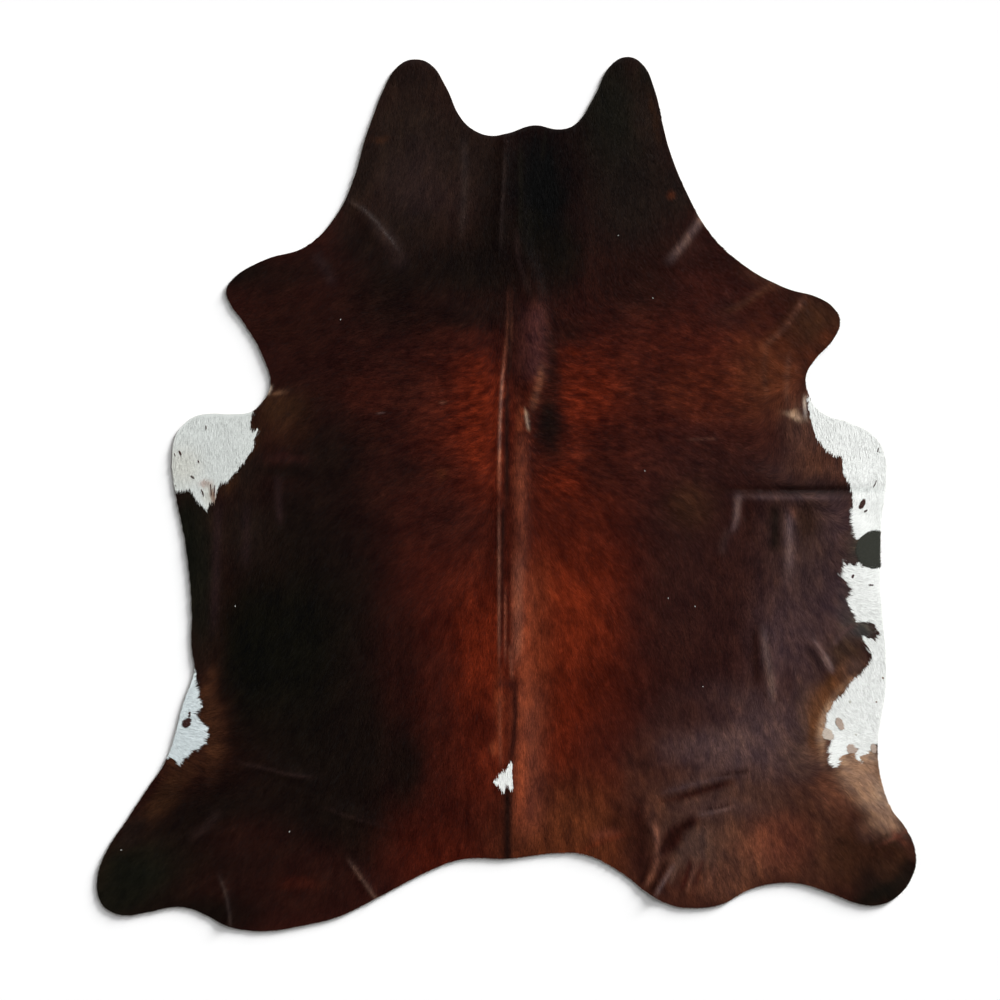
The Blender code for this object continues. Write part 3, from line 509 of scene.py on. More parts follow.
LINES = [Line(*row) for row in (
    # colour, half width, share, route
    # the spine
    # painted sheen on the spine's ridge
    ("berry", 0.030, 0.95, ((0.072, 0.500), (0.070, 0.42), (0.068, 0.36), (0.068, 0.26))),
    ("tawny", 0.009, 0.7, ((0.092, 0.34), (0.083, 0.285), (0.070, 0.235), (0.056, 0.19))),
    ("adobe", 0.018, 0.8, (
        (0.045, 0.26), (0.034, 0.05), (0.036, -0.10), (0.030, -0.24), (0.028, -0.42), (0.022, -0.52),
    )),
    ("flame", 0.009, 0.7, ((0.042, 0.225), (0.036, 0.185), (0.034, 0.145))),
    ("copper", 0.040, 0.90, ((0.07, -0.10), (0.075, -0.25), (0.075, -0.40), (0.070, -0.55), (0.065, -0.72))),
    ("adobe", 0.038, 0.90, ((0.048, -0.42), (0.055, -0.60), (0.058, -0.72), (0.055, -0.90))),
    ("clay", 0.014, 0.8, ((0.032, -0.12), (0.030, -0.25), (0.028, -0.36), (0.022, -0.46))),
    ("flame", 0.014, 0.5, ((0.056, -0.18), (0.060, -0.30), (0.058, -0.40))),
    ("flame", 0.020, 0.7, ((0.045, -0.38), (0.050, -0.46), (0.050, -0.56))),
    ("flame", 0.016, 0.6, ((0.036, -0.50), (0.036, -0.62), (0.036, -0.75), (0.034, -0.86))),
    ("copper", 0.012, 0.8, ((-0.016, -0.40), (-0.018, -0.52), (-0.014, -0.68))),
    # down to the mahogany line: the thin light lines are painted highlights on the spine's fine creases, the
    # thin dark ones painted shade in the grooves beside them
    ("umber", 0.006, 0.7, ((0.008, 0.50), (0.007, 0.40), (0.004, 0.26))),
    ("cocoa", 0.008, 1.0, ((0.004, 0.33), (0.001, 0.20), (0.001, 0.06), (0.001, -0.08))),
    ("umber", 0.005, 0.6, ((-0.008, -0.02), (-0.008, -0.08), (-0.007, -0.14))),
    ("cedar", 0.0035, 0.9, ((0.005, 0.53), (0.003, 0.44), (-0.004, 0.33))),
    ("cedar", 0.0030, 0.8, ((0.013, 0.52), (0.013, 0.44), (0.013, 0.35))),
    ("clay", 0.0040, 1.0, ((0.000, 0.400), (-0.008, 0.31), (-0.015, 0.21), (-0.018, 0.09), (-0.019, -0.03))),
    ("rose", 0.0026, 0.3, ((-0.008, 0.330), (-0.013, 0.26), (-0.016, 0.18), (-0.018, 0.06))),
    ("umber", 0.0040, 0.7, ((-0.011, 0.02), (-0.010, -0.12), (-0.011, -0.28), (-0.012, -0.46))),
    ("rosewood", 0.0034, 0.8, ((-0.020, 0.00), (-0.019, -0.15), (-0.019, -0.30), (-0.019, -0.46))),
    ("clay", 0.0026, 0.8, ((-0.003, -0.22), (-0.003, -0.32), (-0.003, -0.44))),
    ("adobe", 0.0040, 0.8, ((-0.018, -0.48), (-0.017, -0.56), (-0.016, -0.62), (-0.014, -0.70))),
    ("oxblood", 0.0050, 0.9, ((0.003, -0.10), (0.005, -0.25), (0.005, -0.36), (0.007, -0.44))),
    ("clay", 0.0044, 0.7, ((0.008, -0.37), (0.011, -0.42), (0.015, -0.475))),
    ("mahogany", 0.0080, 0.9, (
        (0.018, -0.44), (0.022, -0.52), (0.020, -0.59), (0.013, -0.65), (0.007, -0.71),
    )),
    ("garnet", 0.012, 0.8, ((-0.030, -0.480), (-0.005, -0.474), (0.012, -0.478), (0.030, -0.490))),
    ("umber", 0.013, 0.95, ((0.004, -0.68), (0.003, -0.80), (0.002, -1.0))),
    ("sand", 0.0034, 1.0, ((0.047, 0.215), (0.051, 0.185), (0.056, 0.155))),
    # the neck: light streaks of painted sheen and painted highlights down its dark hair
    ("cinder", 0.004, 0.6, ((-0.003, 0.88), (-0.007, 0.77), (-0.012, 0.70), (-0.014, 0.58))),
    ("olive", 0.007, 0.6, ((0.035, 0.90), (0.036, 0.76), (0.035, 0.62))),
    ("ash", 0.008, 0.75, ((0.026, 0.68), (0.030, 0.59), (0.045, 0.54), (0.070, 0.47))),
    ("olive", 0.005, 0.6, ((0.102, 0.93), (0.086, 0.82))),
    ("cinder", 0.010, 0.6, ((-0.108, 0.92), (-0.105, 0.76), (-0.115, 0.62))),
    # the shoulders
    # painted highlight along the left shoulder's fold, and painted sheen beside it
    ("cinder", 0.0045, 0.8, ((-0.43, 0.755), (-0.35, 0.70), (-0.31, 0.655), (-0.245, 0.57))),
    ("ash", 0.022, 0.8, ((-0.34, 0.69), (-0.29, 0.62), (-0.25, 0.55))),
    ("prune", 0.014, 0.7, ((-0.49, 0.61), (-0.45, 0.56), (-0.43, 0.51))),
    # painted highlight along the right shoulder's fold
    ("orchid", 0.010, 0.8, ((0.52, 0.73), (0.468, 0.66), (0.44, 0.62), (0.39, 0.565))),
    ("plum", 0.022, 0.7, ((0.50, 0.66), (0.46, 0.60), (0.42, 0.57))),
    # painted highlight on a fold by the right foreleg, painted shade on its dark side, and a short painted
    # highlight on the fold below
    ("tawny", 0.007, 0.9, ((0.755, 0.51), (0.715, 0.445), (0.685, 0.405), (0.625, 0.355))),
    ("garnet", 0.014, 0.7, ((0.71, 0.49), (0.66, 0.43), (0.60, 0.38))),
    ("hickory", 0.009, 0.8, ((0.69, 0.55), (0.63, 0.50), (0.58, 0.47), (0.53, 0.45))),
    ("tawny", 0.006, 0.8, ((0.708, 0.37), (0.70, 0.27), (0.703, 0.195))),
    ("hickory", 0.006, 0.6, ((0.65, 0.39), (0.645, 0.30), (0.655, 0.22))),
    ("rosewood", 0.0025, 0.6, ((0.445, 0.135), (0.535, 0.140))),
    # the flanks
    # painted shade in the flank's crease, and a painted highlight along its lower side
    ("cocoa", 0.008, 0.9, ((0.46, 0.010), (0.62, 0.010), (0.74, 0.011), (0.98, 0.012))),
    ("umber", 0.012, 0.9, ((0.64, 0.010), (0.74, 0.012), (0.84, 0.013), (0.94, 0.016))),
    ("heather", 0.006, 0.8, ((0.54, -0.004), (0.64, -0.008), (0.74, -0.009), (0.86, -0.010))),
    # down to the third heather line: painted highlights along upright folds of the right flank, and painted
    # shade beside them
    ("heather", 0.0085, 1.0, ((0.582, 0.012), (0.578, -0.02), (0.574, -0.06), (0.560, -0.105))),
    ("orchid", 0.0060, 0.6, ((0.580, 0.005), (0.577, -0.03), (0.573, -0.075))),
    ("mauve", 0.010, 0.6, ((0.560, -0.08), (0.545, -0.11), (0.535, -0.16))),
    ("cocoa", 0.014, 0.6, ((0.605, 0.02), (0.605, -0.13))),
    ("sepia", 0.016, 0.9, ((0.672, -0.010), (0.672, -0.07), (0.672, -0.16))),
    ("heather", 0.013, 1.0, ((0.705, -0.02), (0.706, -0.10), (0.706, -0.17), (0.702, -0.25))),
    ("orchid", 0.009, 0.6, ((0.703, -0.05), (0.705, -0.12), (0.704, -0.21))),
    ("cocoa", 0.013, 0.8, ((0.620, -0.31), (0.624, -0.40), (0.628, -0.50))),
    ("orchid", 0.009, 0.75, ((0.641, -0.31), (0.650, -0.40), (0.660, -0.46), (0.667, -0.54))),
    ("prune", 0.010, 0.7, ((0.752, -0.375), (0.770, -0.405), (0.788, -0.438))),
    ("heather", 0.0050, 1.0, ((0.757, -0.345), (0.785, -0.395), (0.820, -0.455))),
    ("orchid", 0.0070, 1.0, ((0.788, -0.400), (0.804, -0.425), (0.818, -0.450))),
    ("heather", 0.0060, 1.0, ((0.808, -0.386), (0.845, -0.345), (0.885, -0.318))),
    ("caramel", 0.009, 0.9, (
        (0.905, -0.420), (0.875, -0.450), (0.845, -0.480), (0.820, -0.508), (0.800, -0.540),
        (0.786, -0.590), (0.790, -0.650), (0.802, -0.710),
    )),
    ("sand", 0.006, 0.8, ((0.822, -0.510), (0.800, -0.545), (0.788, -0.590), (0.792, -0.640))),
    # faint painted highlights down the dark left side
    ("prune", 0.012, 0.8, ((-0.720, 0.02), (-0.724, -0.12), (-0.733, -0.38))),
    ("prune", 0.012, 0.6, ((-0.650, 0.0), (-0.652, -0.20))),
    ("prune", 0.009, 0.8, ((-0.574, 0.06), (-0.565, -0.09))),
    # the right thigh: painted highlights on its creases, its wrinkles and the rim of a hollow, and painted
    # shade in its grooves and in the hollow
    ("heather", 0.0050, 0.8, ((0.37, -0.752), (0.48, -0.722), (0.60, -0.698))),
    ("cedar", 0.0055, 1.0, ((0.345, -0.776), (0.42, -0.762), (0.50, -0.740), (0.60, -0.708))),
    ("mahogany", 0.0090, 1.0, ((0.400, -0.768), (0.46, -0.750), (0.51, -0.735), (0.575, -0.714))),
    ("cocoa", 0.0036, 0.9, ((0.525, -0.703), (0.570, -0.696), (0.615, -0.690))),
    ("plum", 0.0036, 1.0, ((0.490, -0.789), (0.530, -0.783), (0.570, -0.770))),
    ("orchid", 0.0038, 0.5, ((0.46, -0.805), (0.52, -0.795), (0.57, -0.783))),
    ("mahogany", 0.016, 1.0, ((0.375, -0.925), (0.405, -0.870), (0.43, -0.842), (0.50, -0.798))),
    ("cocoa", 0.009, 0.8, ((0.385, -0.905), (0.405, -0.870), (0.43, -0.842), (0.48, -0.808))),
    ("mahogany", 0.020, 0.75, ((0.325, -0.74), (0.328, -0.85), (0.335, -0.97))),
    ("cocoa", 0.012, 0.8, ((0.338, -0.82), (0.342, -0.865), (0.338, -0.91))),
    ("rosewood", 0.007, 0.9, ((0.370, -0.815), (0.378, -0.865), (0.368, -0.915))),
    ("adobe", 0.012, 0.7, ((0.20, -0.860), (0.25, -0.850), (0.30, -0.850))),
    ("cocoa", 0.0055, 1.0, ((0.358, -0.895), (0.346, -0.945), (0.330, -0.985))),
    ("rosewood", 0.0050, 0.9, ((0.386, -0.890), (0.365, -0.950), (0.342, -0.990))),
    ("cocoa", 0.0070, 1.0, ((0.406, -0.905), (0.380, -0.960), (0.350, -1.010))),
    ("orchid", 0.0045, 0.8, ((0.427, -0.915), (0.395, -0.965), (0.365, -1.015))),
    ("taupe", 0.0060, 0.7, ((0.440, -0.895), (0.420, -0.945), (0.405, -0.985))),
    ("garnet", 0.0060, 0.9, ((0.462, -0.905), (0.450, -0.955), (0.432, -1.000))),
    ("rosewood", 0.0040, 0.8, ((0.477, -0.915), (0.462, -0.960), (0.447, -1.005))),
    ("garnet", 0.0050, 0.7, ((0.494, -0.905), (0.482, -0.945), (0.472, -0.985))),
    ("rosewood", 0.0040, 0.7, ((0.532, -0.915), (0.515, -0.950), (0.495, -0.990))),
    ("copper", 0.0045, 0.7, ((0.17, -0.902), (0.24, -0.868), (0.315, -0.845))),
    # the hind legs: painted highlights along fine creases and folds, and painted shade (bark) beside the
    # creases near the right hoof
    ("bark", 0.004, 0.8, ((0.92, -0.907), (0.95, -0.885), (1.00, -0.856))),
    ("bark", 0.004, 0.8, ((0.89, -0.886), (0.93, -0.865), (0.965, -0.844))),
    ("clay", 0.0035, 0.6, ((0.935, -0.878), (0.975, -0.856), (1.02, -0.832))),
    ("ash", 0.0035, 0.8, ((-0.69, -0.668), (-0.60, -0.687), (-0.55, -0.70), (-0.46, -0.712))),
    ("ash", 0.0035, 0.6, ((-0.48, -0.774), (-0.38, -0.81), (-0.27, -0.840))),
    ("taupe", 0.0035, 0.9, ((-0.405, -0.900), (-0.36, -0.965), (-0.31, -1.035))),
    ("cinder", 0.0030, 0.9, ((-0.725, -0.935), (-0.70, -1.01), (-0.687, -1.11))),
    ("ash", 0.012, 0.5, ((-0.80, -0.87), (-0.75, -0.83), (-0.71, -0.78))),
)]


class Fold(NamedTuple):
    """A fine crease of the leather, beyond the solid's own folds."""

    height: float  # below zero for a groove
    half_width: float
    route: tuple  # (x, y)


FINE_FOLDS = [Fold(*row) for row in (
    # height, half width, route
    (0.0012, 0.006, ((0.003, 0.44), (-0.012, 0.25), (-0.020, 0.05), (-0.021, -0.20), (-0.016, -0.66))),
    (0.0012, 0.009, ((-0.42, 0.745), (-0.35, 0.70), (-0.31, 0.655), (-0.255, 0.585))),
    (0.0016, 0.018, ((0.52, 0.73), (0.468, 0.66), (0.44, 0.62), (0.39, 0.565))),
    (0.0014, 0.013, ((0.745, 0.50), (0.715, 0.445), (0.685, 0.405), (0.635, 0.365))),
    (0.0012, 0.014, ((0.69, 0.55), (0.63, 0.50), (0.58, 0.47), (0.54, 0.455))),
    (-0.0016, 0.011, ((0.48, 0.014), (0.62, 0.013), (0.74, 0.011), (0.98, 0.016))),
    (0.0014, 0.012, ((0.583, 0.02), (0.577, -0.04), (0.560, -0.085), (0.535, -0.17))),
    (0.0012, 0.014, ((0.698, -0.03), (0.703, -0.12), (0.708, -0.22))),
    (0.0014, 0.014, ((0.662, -0.33), (0.665, -0.42), (0.670, -0.52))),
    (0.0014, 0.009, ((0.762, -0.362), (0.79, -0.40), (0.822, -0.447))),
    (-0.0016, 0.008, ((0.355, -0.770), (0.42, -0.757), (0.50, -0.737), (0.59, -0.698))),
    (-0.0012, 0.006, ((0.495, -0.789), (0.53, -0.785), (0.57, -0.772))),
    (-0.0016, 0.013, ((0.385, -0.915), (0.408, -0.870), (0.43, -0.835), (0.48, -0.803))),
    (0.0014, 0.012, ((0.345, -0.81), (0.368, -0.87), (0.362, -0.92))),
    (0.0012, 0.008, ((0.372, -0.90), (0.342, -0.98))),
    (0.0012, 0.008, ((0.422, -0.93), (0.370, -1.005))),
    (0.0010, 0.008, ((0.447, -0.905), (0.412, -0.965))),
    (0.0010, 0.007, ((-0.675, -0.672), (-0.60, -0.687), (-0.55, -0.70), (-0.48, -0.710))),
    (0.0010, 0.007, ((-0.395, -0.915), (-0.36, -0.965), (-0.32, -1.02))),
    (0.0010, 0.006, ((-0.720, -0.950), (-0.70, -1.01), (-0.690, -1.09))),
    (0.0010, 0.007, ((0.945, -0.872), (0.975, -0.856), (1.01, -0.838))),
)]


class Heading(NamedTuple):
    """The way the hair lies about a place, in degrees counter-clockwise from +X."""

    x: float
    y: float
    degrees: float


HEADINGS = [Heading(*row) for row in (
    # x, y, degrees
    (-0.23, 1.00, -95), (0.30, 1.00, -85), (0.05, 0.80, -90),
    (-0.25, 0.75, -105), (0.33, 0.75, -75), (0.05, 0.50, -90),
    (-0.55, 0.52, -150), (0.60, 0.50, -35), (0.78, 0.42, -50),
    (-0.35, 0.35, -165), (0.40, 0.32, -15), (-0.15, 0.30, -177),
    (0.20, 0.28, -4), (-0.15, 0.12, -165), (0.17, 0.12, -16),
    (-0.45, 0.10, -140), (0.45, 0.05, -35), (-0.72, 0.10, -88),
    (-0.20, -0.10, -140), (0.20, -0.15, -50), (0.02, -0.30, -90),
    (-0.50, -0.30, -115), (0.45, -0.30, -75), (-0.75, -0.30, -100),
    (-0.20, -0.50, -110), (0.22, -0.50, -62), (0.02, -0.60, -90),
    (-0.80, -0.58, 110), (-0.70, -0.55, -120), (0.80, 0.15, 95),
    (0.87, 0.00, 82), (0.90, -0.22, 70), (0.78, -0.12, -80),
    (0.72, -0.15, -95), (0.72, -0.40, -88), (0.88, -0.38, -35),
    (0.90, -0.50, -85), (0.83, -0.62, 85), (0.60, -0.60, -80),
    (0.90, -0.78, -60), (0.85, -0.95, -60), (0.55, -0.90, -75),
    (0.30, -0.85, -75), (0.02, -0.85, -90), (-0.25, -0.85, -105),
    (-0.55, -0.90, -125), (-0.90, -0.90, -135),
)]
HEADING_REACH = 0.11
SPINE_X, SPINE_HALF_WIDTH = 0.01, 0.032  # hair beside the spine lies along it
SPINE_PULL = 4.0  # against the headings nearby


# ---------------------------------------------------------------- numbers over the hide

def linear(colour):
    """A display colour from 0 to 255 as linear light."""
    c = np.array(colour) / 255
    return np.where(c > 0.04045, ((c + 0.055) / 1.055) ** 2.4, c / 12.92)


PAINT = {name: linear(colour) for name, colour in PALETTE.items()}


def smooth_line(knots, closed=False, steps=6):
    """Points (x, y) along the smooth line through these knots."""
    curve = bpy.data.curves.new("line", "CURVE")
    curve.resolution_u = steps
    spline = curve.splines.new("BEZIER")
    spline.bezier_points.add(len(knots) - 1)
    for point, (x, y) in zip(spline.bezier_points, knots):
        point.co = (x, y, 0.0)
        point.handle_left_type = point.handle_right_type = "AUTO"
    spline.use_cyclic_u = closed
    guide = bpy.data.objects.new("line", curve)
    bpy.context.scene.collection.objects.link(guide)
    bpy.context.view_layer.update()
    line = bpy.data.meshes.new_from_object(guide)
    points = np.array([vertex.co[:2] for vertex in line.vertices])
    bpy.data.objects.remove(guide)
    bpy.data.curves.remove(curve)
    bpy.data.meshes.remove(line)
    return points


def evenly(line, step):
    """Points at even steps along a line of points, and the line's heading at each, in radians."""
    lengths = np.linalg.norm(np.diff(line, axis=0), axis=1)
    passed = np.concatenate([[0.0], np.cumsum(lengths)])
    stations = np.linspace(0.0, passed[-1], max(2, round(passed[-1] / step)))
    points = np.stack([np.interp(stations, passed, line[:, axis]) for axis in (0, 1)], 1)
    forward = np.gradient(points, axis=0)
    return points, np.arctan2(forward[:, 1], forward[:, 0])


def nearness(points, route, reach):
    """Each point's distance to the route, at most reach; and 1 beside its middle, down to 0 at its ends."""
    line = smooth_line(route)
    near = ((points > line.min(0) - reach) & (points < line.max(0) + reach)).all(1)
    away, fade = np.full(len(points), reach), np.zeros(len(points))
    starts, runs = line[:-1], np.diff(line, axis=0)
    lengths = np.linalg.norm(runs, axis=1)
    passed = np.cumsum(lengths) - lengths
    to_start = points[near][:, None] - starts[None]
    share = np.clip((to_start * runs).sum(2) / lengths**2, 0.0, 1.0)
    squares = ((to_start - share[:, :, None] * runs) ** 2).sum(2)
    closest = squares.argmin(1)
    every = np.arange(len(closest))
    along = (passed[closest] + share[every, closest] * lengths[closest]) / lengths.sum()
    away[near] = np.minimum(np.sqrt(squares[every, closest]), reach)
    fade[near] = np.clip(np.minimum(along, 1 - along) / FADING, 0, 1)
    return away, eased(fade)


def eased(share):
    """A share from 0 to 1 that starts and stops gently."""
    return share * share * (3.0 - 2.0 * share)


def steps_along(turns):
    """Unit steps (x, y) along these headings, in radians."""
    return np.stack([np.cos(turns), np.sin(turns)], 1)


def turned(x, y, degrees):
    """These x and y, turned counter-clockwise."""
    turn = math.radians(degrees)
    return x * math.cos(turn) - y * math.sin(turn), x * math.sin(turn) + y * math.cos(turn)


def inside(points, outline):
    """Whether each point lies inside the closed outline: it has an odd number of crossings on its right."""
    x, y = points[:, :1], points[:, 1:]
    start, end = outline, np.roll(outline, -1, axis=0)
    spans = (start[:, 1] > y) != (end[:, 1] > y)
    rise = np.where(end[:, 1] == start[:, 1], 1.0, end[:, 1] - start[:, 1])
    crossing = start[:, 0] + (y - start[:, 1]) * (end[:, 0] - start[:, 0]) / rise
    return (spans & (x < crossing)).sum(1) % 2 == 1


def noise(points, size, seed):
    """Smooth noise from -1 to 1; size is how far apart its values are."""
    columns, rows = 257, 263
    table = np.random.default_rng(seed).uniform(-1.0, 1.0, (columns, rows))
    shift = 2.0  # past the hide's lower left corner
    cells = (points + shift) / size
    corner = np.floor(cells).astype(int)
    part = eased(cells - corner)

    def at(i, j):
        return table[(corner[:, 0] + i) % columns, (corner[:, 1] + j) % rows]

    lower = at(0, 0) * (1 - part[:, 0]) + at(1, 0) * part[:, 0]
    upper = at(0, 1) * (1 - part[:, 0]) + at(1, 1) * part[:, 0]
    return lower * (1 - part[:, 1]) + upper * part[:, 1]


def streaks(points, ahead, size, seed):
    """Noise drawn out along the way the hair lies."""
    samples = [noise(points + shift * size * ahead, size, seed) for shift in (-1, -0.5, 0, 0.5, 1)]
    strength = 3  # five samples partly cancel out, so their sum is divided by less than five
    return sum(samples) / strength


def wandering(points, reach, size, seeds):
    """Shifts (x, y) that make a border wander."""
    return reach * np.stack([noise(points, size, seed) for seed in seeds], 1)


# ---------------------------------------------------------------- the relief, read from the solid

def cut_edge():
    """The hide's outline: the loop where the solid's walls meet its underside, smoothed."""
    mesh = SOLID.data
    places = np.array([vertex.co for vertex in mesh.vertices])
    decimals, upright = 5, 0.1  # of a point that is met again, and of a wall's normal
    _, merged = np.unique(np.round(places, decimals), axis=0, return_inverse=True)
    merged = merged.ravel()
    walls, under = set(), set()
    for face in mesh.polygons:
        corners = [int(merged[v]) for v in face.vertices]
        sides = {frozenset(pair) for pair in zip(corners, corners[1:] + corners[:1])}
        if abs(face.normal.z) < upright:
            walls |= sides
        elif face.normal.z < 0:
            under |= sides
    beside = {}
    for side in walls & under:
        a, b = tuple(side)
        beside.setdefault(a, []).append(b)
        beside.setdefault(b, []).append(a)
    first = min(beside)
    loop, last = [first], None
    while True:
        ahead = [v for v in beside[loop[-1]] if v != last]
        last = loop[-1]
        if ahead[0] == first:
            break
        loop.append(ahead[0])
    place_of = {int(m): places[i, :2] for i, m in enumerate(merged)}
    return smooth_line([place_of[v] for v in loop], True, EDGE_STEPS)


class Relief:
    """The hide's height, the distance to its edge and its coat's colours, on a grid."""

    def __init__(self, edge):
        self.edge = edge
        self.low = edge.min(0) - MARGIN
        columns, rows = np.ceil((edge.max(0) + MARGIN - self.low) / CELL).astype(int) + 1
        x = self.low[0] + CELL * np.arange(columns)
        y = self.low[1] + CELL * np.arange(rows)
        self.places = np.stack(np.meshgrid(x, y, indexing="ij"), -1).reshape(-1, 2)
        self.shape = (columns, rows)
        self.depth = self.signed_distance()
        folds, fine = self.folds(), self.fine()
        self.height = folds + fine
        self.slopes = np.stack(np.gradient(SHINE_OF_FOLDS * folds + fine, CELL), -1)
        self.colours = tinted(self.places).reshape(columns, rows, 3)

    def signed_distance(self):
        """How far inside the cut edge each place lies."""
        closed = np.concatenate([self.edge, self.edge[:1]])
        dense, _ = evenly(closed, CELL / 2)
        tree = kdtree.KDTree(len(dense))
        for index, point in enumerate(dense):
            tree.insert((point[0], point[1], 0.0), index)
        tree.balance()
        away = np.array([tree.find((x, y, 0.0))[2] for x, y in self.places])
        within = np.zeros(len(self.places), bool)
        parts = 40  # of the places, so that each fits in memory
        for part in np.array_split(np.arange(len(self.places)), parts):
            within[part] = inside(self.places[part], self.edge)
        return np.where(within, away, -away).reshape(self.shape)

    def folds(self):
        """How high the solid's underside lies, with its facets rounded off."""
        SOLID.data.calc_loop_triangles()
        corners = [vertex.co for vertex in SOLID.data.vertices]
        faces = [tuple(t.vertices) for t in SOLID.data.loop_triangles]
        tree = BVHTree.FromPolygons(corners, faces)
        down, above = Vector((0, 0, -1)), 1.0
        height = np.zeros(len(self.places))
        hit = np.zeros(len(self.places))
        for index in np.flatnonzero(self.depth.ravel() > -CELL / 4):
            x, y = self.places[index]
            found = tree.ray_cast(Vector((x, y, above)), down)
            if found[0] is not None:
                height[index] = found[0].z - SOLID_THICKNESS
                hit[index] = 1.0
        height, hit = height.reshape(self.shape), hit.reshape(self.shape)
        return rounded(height * hit) / np.maximum(rounded(hit), 1e-6)

    def fine(self):
        """The fine folds' height, and the leather's small lift off the floor between them."""
        fine = np.zeros(len(self.places))
        for fold in FINE_FOLDS:
            away, fade = nearness(self.places, fold.route, fold.half_width)
            fine += fold.height * fade * (0.5 + 0.5 * np.cos(np.pi * away / fold.half_width))
        lift = 0.5
        for share, size, seed in LIFTS:
            lift = lift + share * noise(self.places, size, seed)
        return (fine + UNEVEN * lift).reshape(self.shape)

    def at(self, field, points):
        """A field's values at these points."""
        cells = (points - self.low) / CELL
        corner = np.clip(np.floor(cells).astype(int), 0, np.array(self.shape) - 2)
        part = np.clip(cells - corner, 0.0, 1.0)
        i, j = corner.T
        u, v = part.T if field.ndim == 2 else part.T[:, :, None]
        lower = field[i, j] * (1 - u) + field[i + 1, j] * u
        upper = field[i, j + 1] * (1 - u) + field[i + 1, j + 1] * u
        return lower * (1 - v) + upper * v

    def ground(self, points):
        """How high the leather's underside lies, never in the floor."""
        return np.maximum(self.at(self.height, points), 0.0)


def rounded(field):
    """The field blurred over ROUNDING cells each way."""
    reach = 3 * ROUNDING
    steps = np.arange(-reach, reach + 1)
    kernel = np.exp(-0.5 * (steps / ROUNDING) ** 2)
    kernel /= kernel.sum()
    for axis in (0, 1):
        field = np.apply_along_axis(lambda row: np.convolve(row, kernel, "same"), axis, field)
    return field


# ---------------------------------------------------------------- the coat's colours

def blended(colours, colour, share):
    return colours * (1 - share[:, None]) + PAINT[colour] * share[:, None]


def washed(colours, points, patches):
    """The colours with the patches laid over them, in their order."""
    for patch in patches:
        across, along = turned(points[:, 0] - patch.x, points[:, 1] - patch.y, -patch.turn)
        u, v = across / patch.half_width, along / patch.half_height
        colours = blended(colours, patch.colour, patch.share * np.exp(-((u * u + v * v) ** 1.5)))
    return colours


def charted(points):
    """The dark coat's colour at each point as the patches and lines give it, painted sheen, highlights and
    shade among them.
    """
    bent = points + wandering(points, WANDER, WANDER_SIZE, (71, 72))
    colours = washed(np.tile(PAINT[BASE], (len(points), 1)), bent, PATCHES)
    for line in LINES:
        away, fade = nearness(points, line.route, LINE_REACH * line.half_width)
        share = line.share * fade * np.exp(-((away / line.half_width) ** 2))
        colours = blended(colours, line.colour, share)
    return colours


def tinted(points):
    """The dark coat's colour at each point as seen from above, mottled by streaks, tufts and crimps."""
    colours = charted(points)
    ahead = steps_along(heading(points))
    x, y = ((points - CHEST_MIDDLE) / CHEST_HALF).T
    chest = np.exp(-(y**4) - x**4)
    tufts = LOCKS * streaks(points, ahead, LOCK_SIZE, 62) + TUFTS * streaks(points, ahead, TUFT_SIZE, 63)
    cloud = CLOUDS * noise(points, CLOUD_SIZE, 61) + (1.0 - 0.5 * chest) * tufts
    cloud += HAIRS * streaks(points, ahead, HAIR_SIZE, 64)
    cloud += CRIMPS * chest * noise(points * CRIMP_SQUEEZE, CRIMP_SIZE, 65)
    fully_lit = 0.03  # linear light from which the mottling is as strong as it gets
    light = np.clip(colours.mean(1) / fully_lit, 0.0, 1.0)
    cloud *= 0.25 + 0.50 * light + 0.35 * chest
    return colours * np.exp(cloud[:, None] * np.array(MOTTLED))


def coat(relief, points):
    """The coat's colour at each point as seen from above, and whether its hair is white there."""
    colours = relief.at(relief.colours, points)
    white = np.zeros(len(points), bool)
    for shape in SHAPES:
        within = inside(points, np.array(shape.corners))
        colours[within] = PAINT[shape.colour]
        white |= within
    colours[white] = washed(colours[white], points[white], STAINS_AND_CREASE_SHADE)
    return colours, white


def heading(points):
    """The way the hair lies at each point, in radians: the headings nearby, weighed by their nearness."""
    sums = np.zeros((len(points), 2))
    for row in HEADINGS:
        away2 = (points[:, 0] - row.x) ** 2 + (points[:, 1] - row.y) ** 2
        weight = np.exp(-away2 / (2 * HEADING_REACH**2)) + 1e-6
        sums += weight[:, None] * np.array(turned(1.0, 0.0, row.degrees))
    sums[:, 1] -= SPINE_PULL * np.exp(-(((points[:, 0] - SPINE_X) / SPINE_HALF_WIDTH) ** 2))
    return np.arctan2(sums[:, 1], sums[:, 0])


def pigment(seen):
    """The colour given to the hair, painted sheen and shade included, from its colour as seen from above."""
    return np.maximum(seen - GLOSS, DARKEST) / (SHADE + BOUNCE * seen)


# ---------------------------------------------------------------- meshes

def new_piece(name, mesh, *materials):
    for material in materials:
        mesh.materials.append(material)
    piece = bpy.data.objects.new(name, mesh)
    bpy.context.scene.collection.objects.link(piece)
    return piece


def rows_beside(line, offsets, step):
    """Rows of points along a line, at these distances from it."""
    points, turn = evenly(line, step)
    left = np.stack([-np.sin(turn), np.cos(turn)], 1)
    return np.concatenate([points + left * offset for offset in offsets])


def spaced(points, taken):
    """The points in their order, without those within LEAST_GAP of one before them or of a taken one."""
    cells = {}

    def cell(point):
        return int(point[0] // LEAST_GAP), int(point[1] // LEAST_GAP)

    def crowded(point):
        column, row = cell(point)
        for i in (-1, 0, 1):
            for j in (-1, 0, 1):
                for other in cells.get((column + i, row + j), ()):
                    if math.hypot(point[0] - other[0], point[1] - other[1]) < LEAST_GAP:
                        return True
        return False

    for point in taken.tolist():
        cells.setdefault(cell(point), []).append(point)
    kept = []
    for point in points.tolist():
        if not crowded(point):
            cells.setdefault(cell(point), []).append(point)
            kept.append(point)
    return np.array(kept)


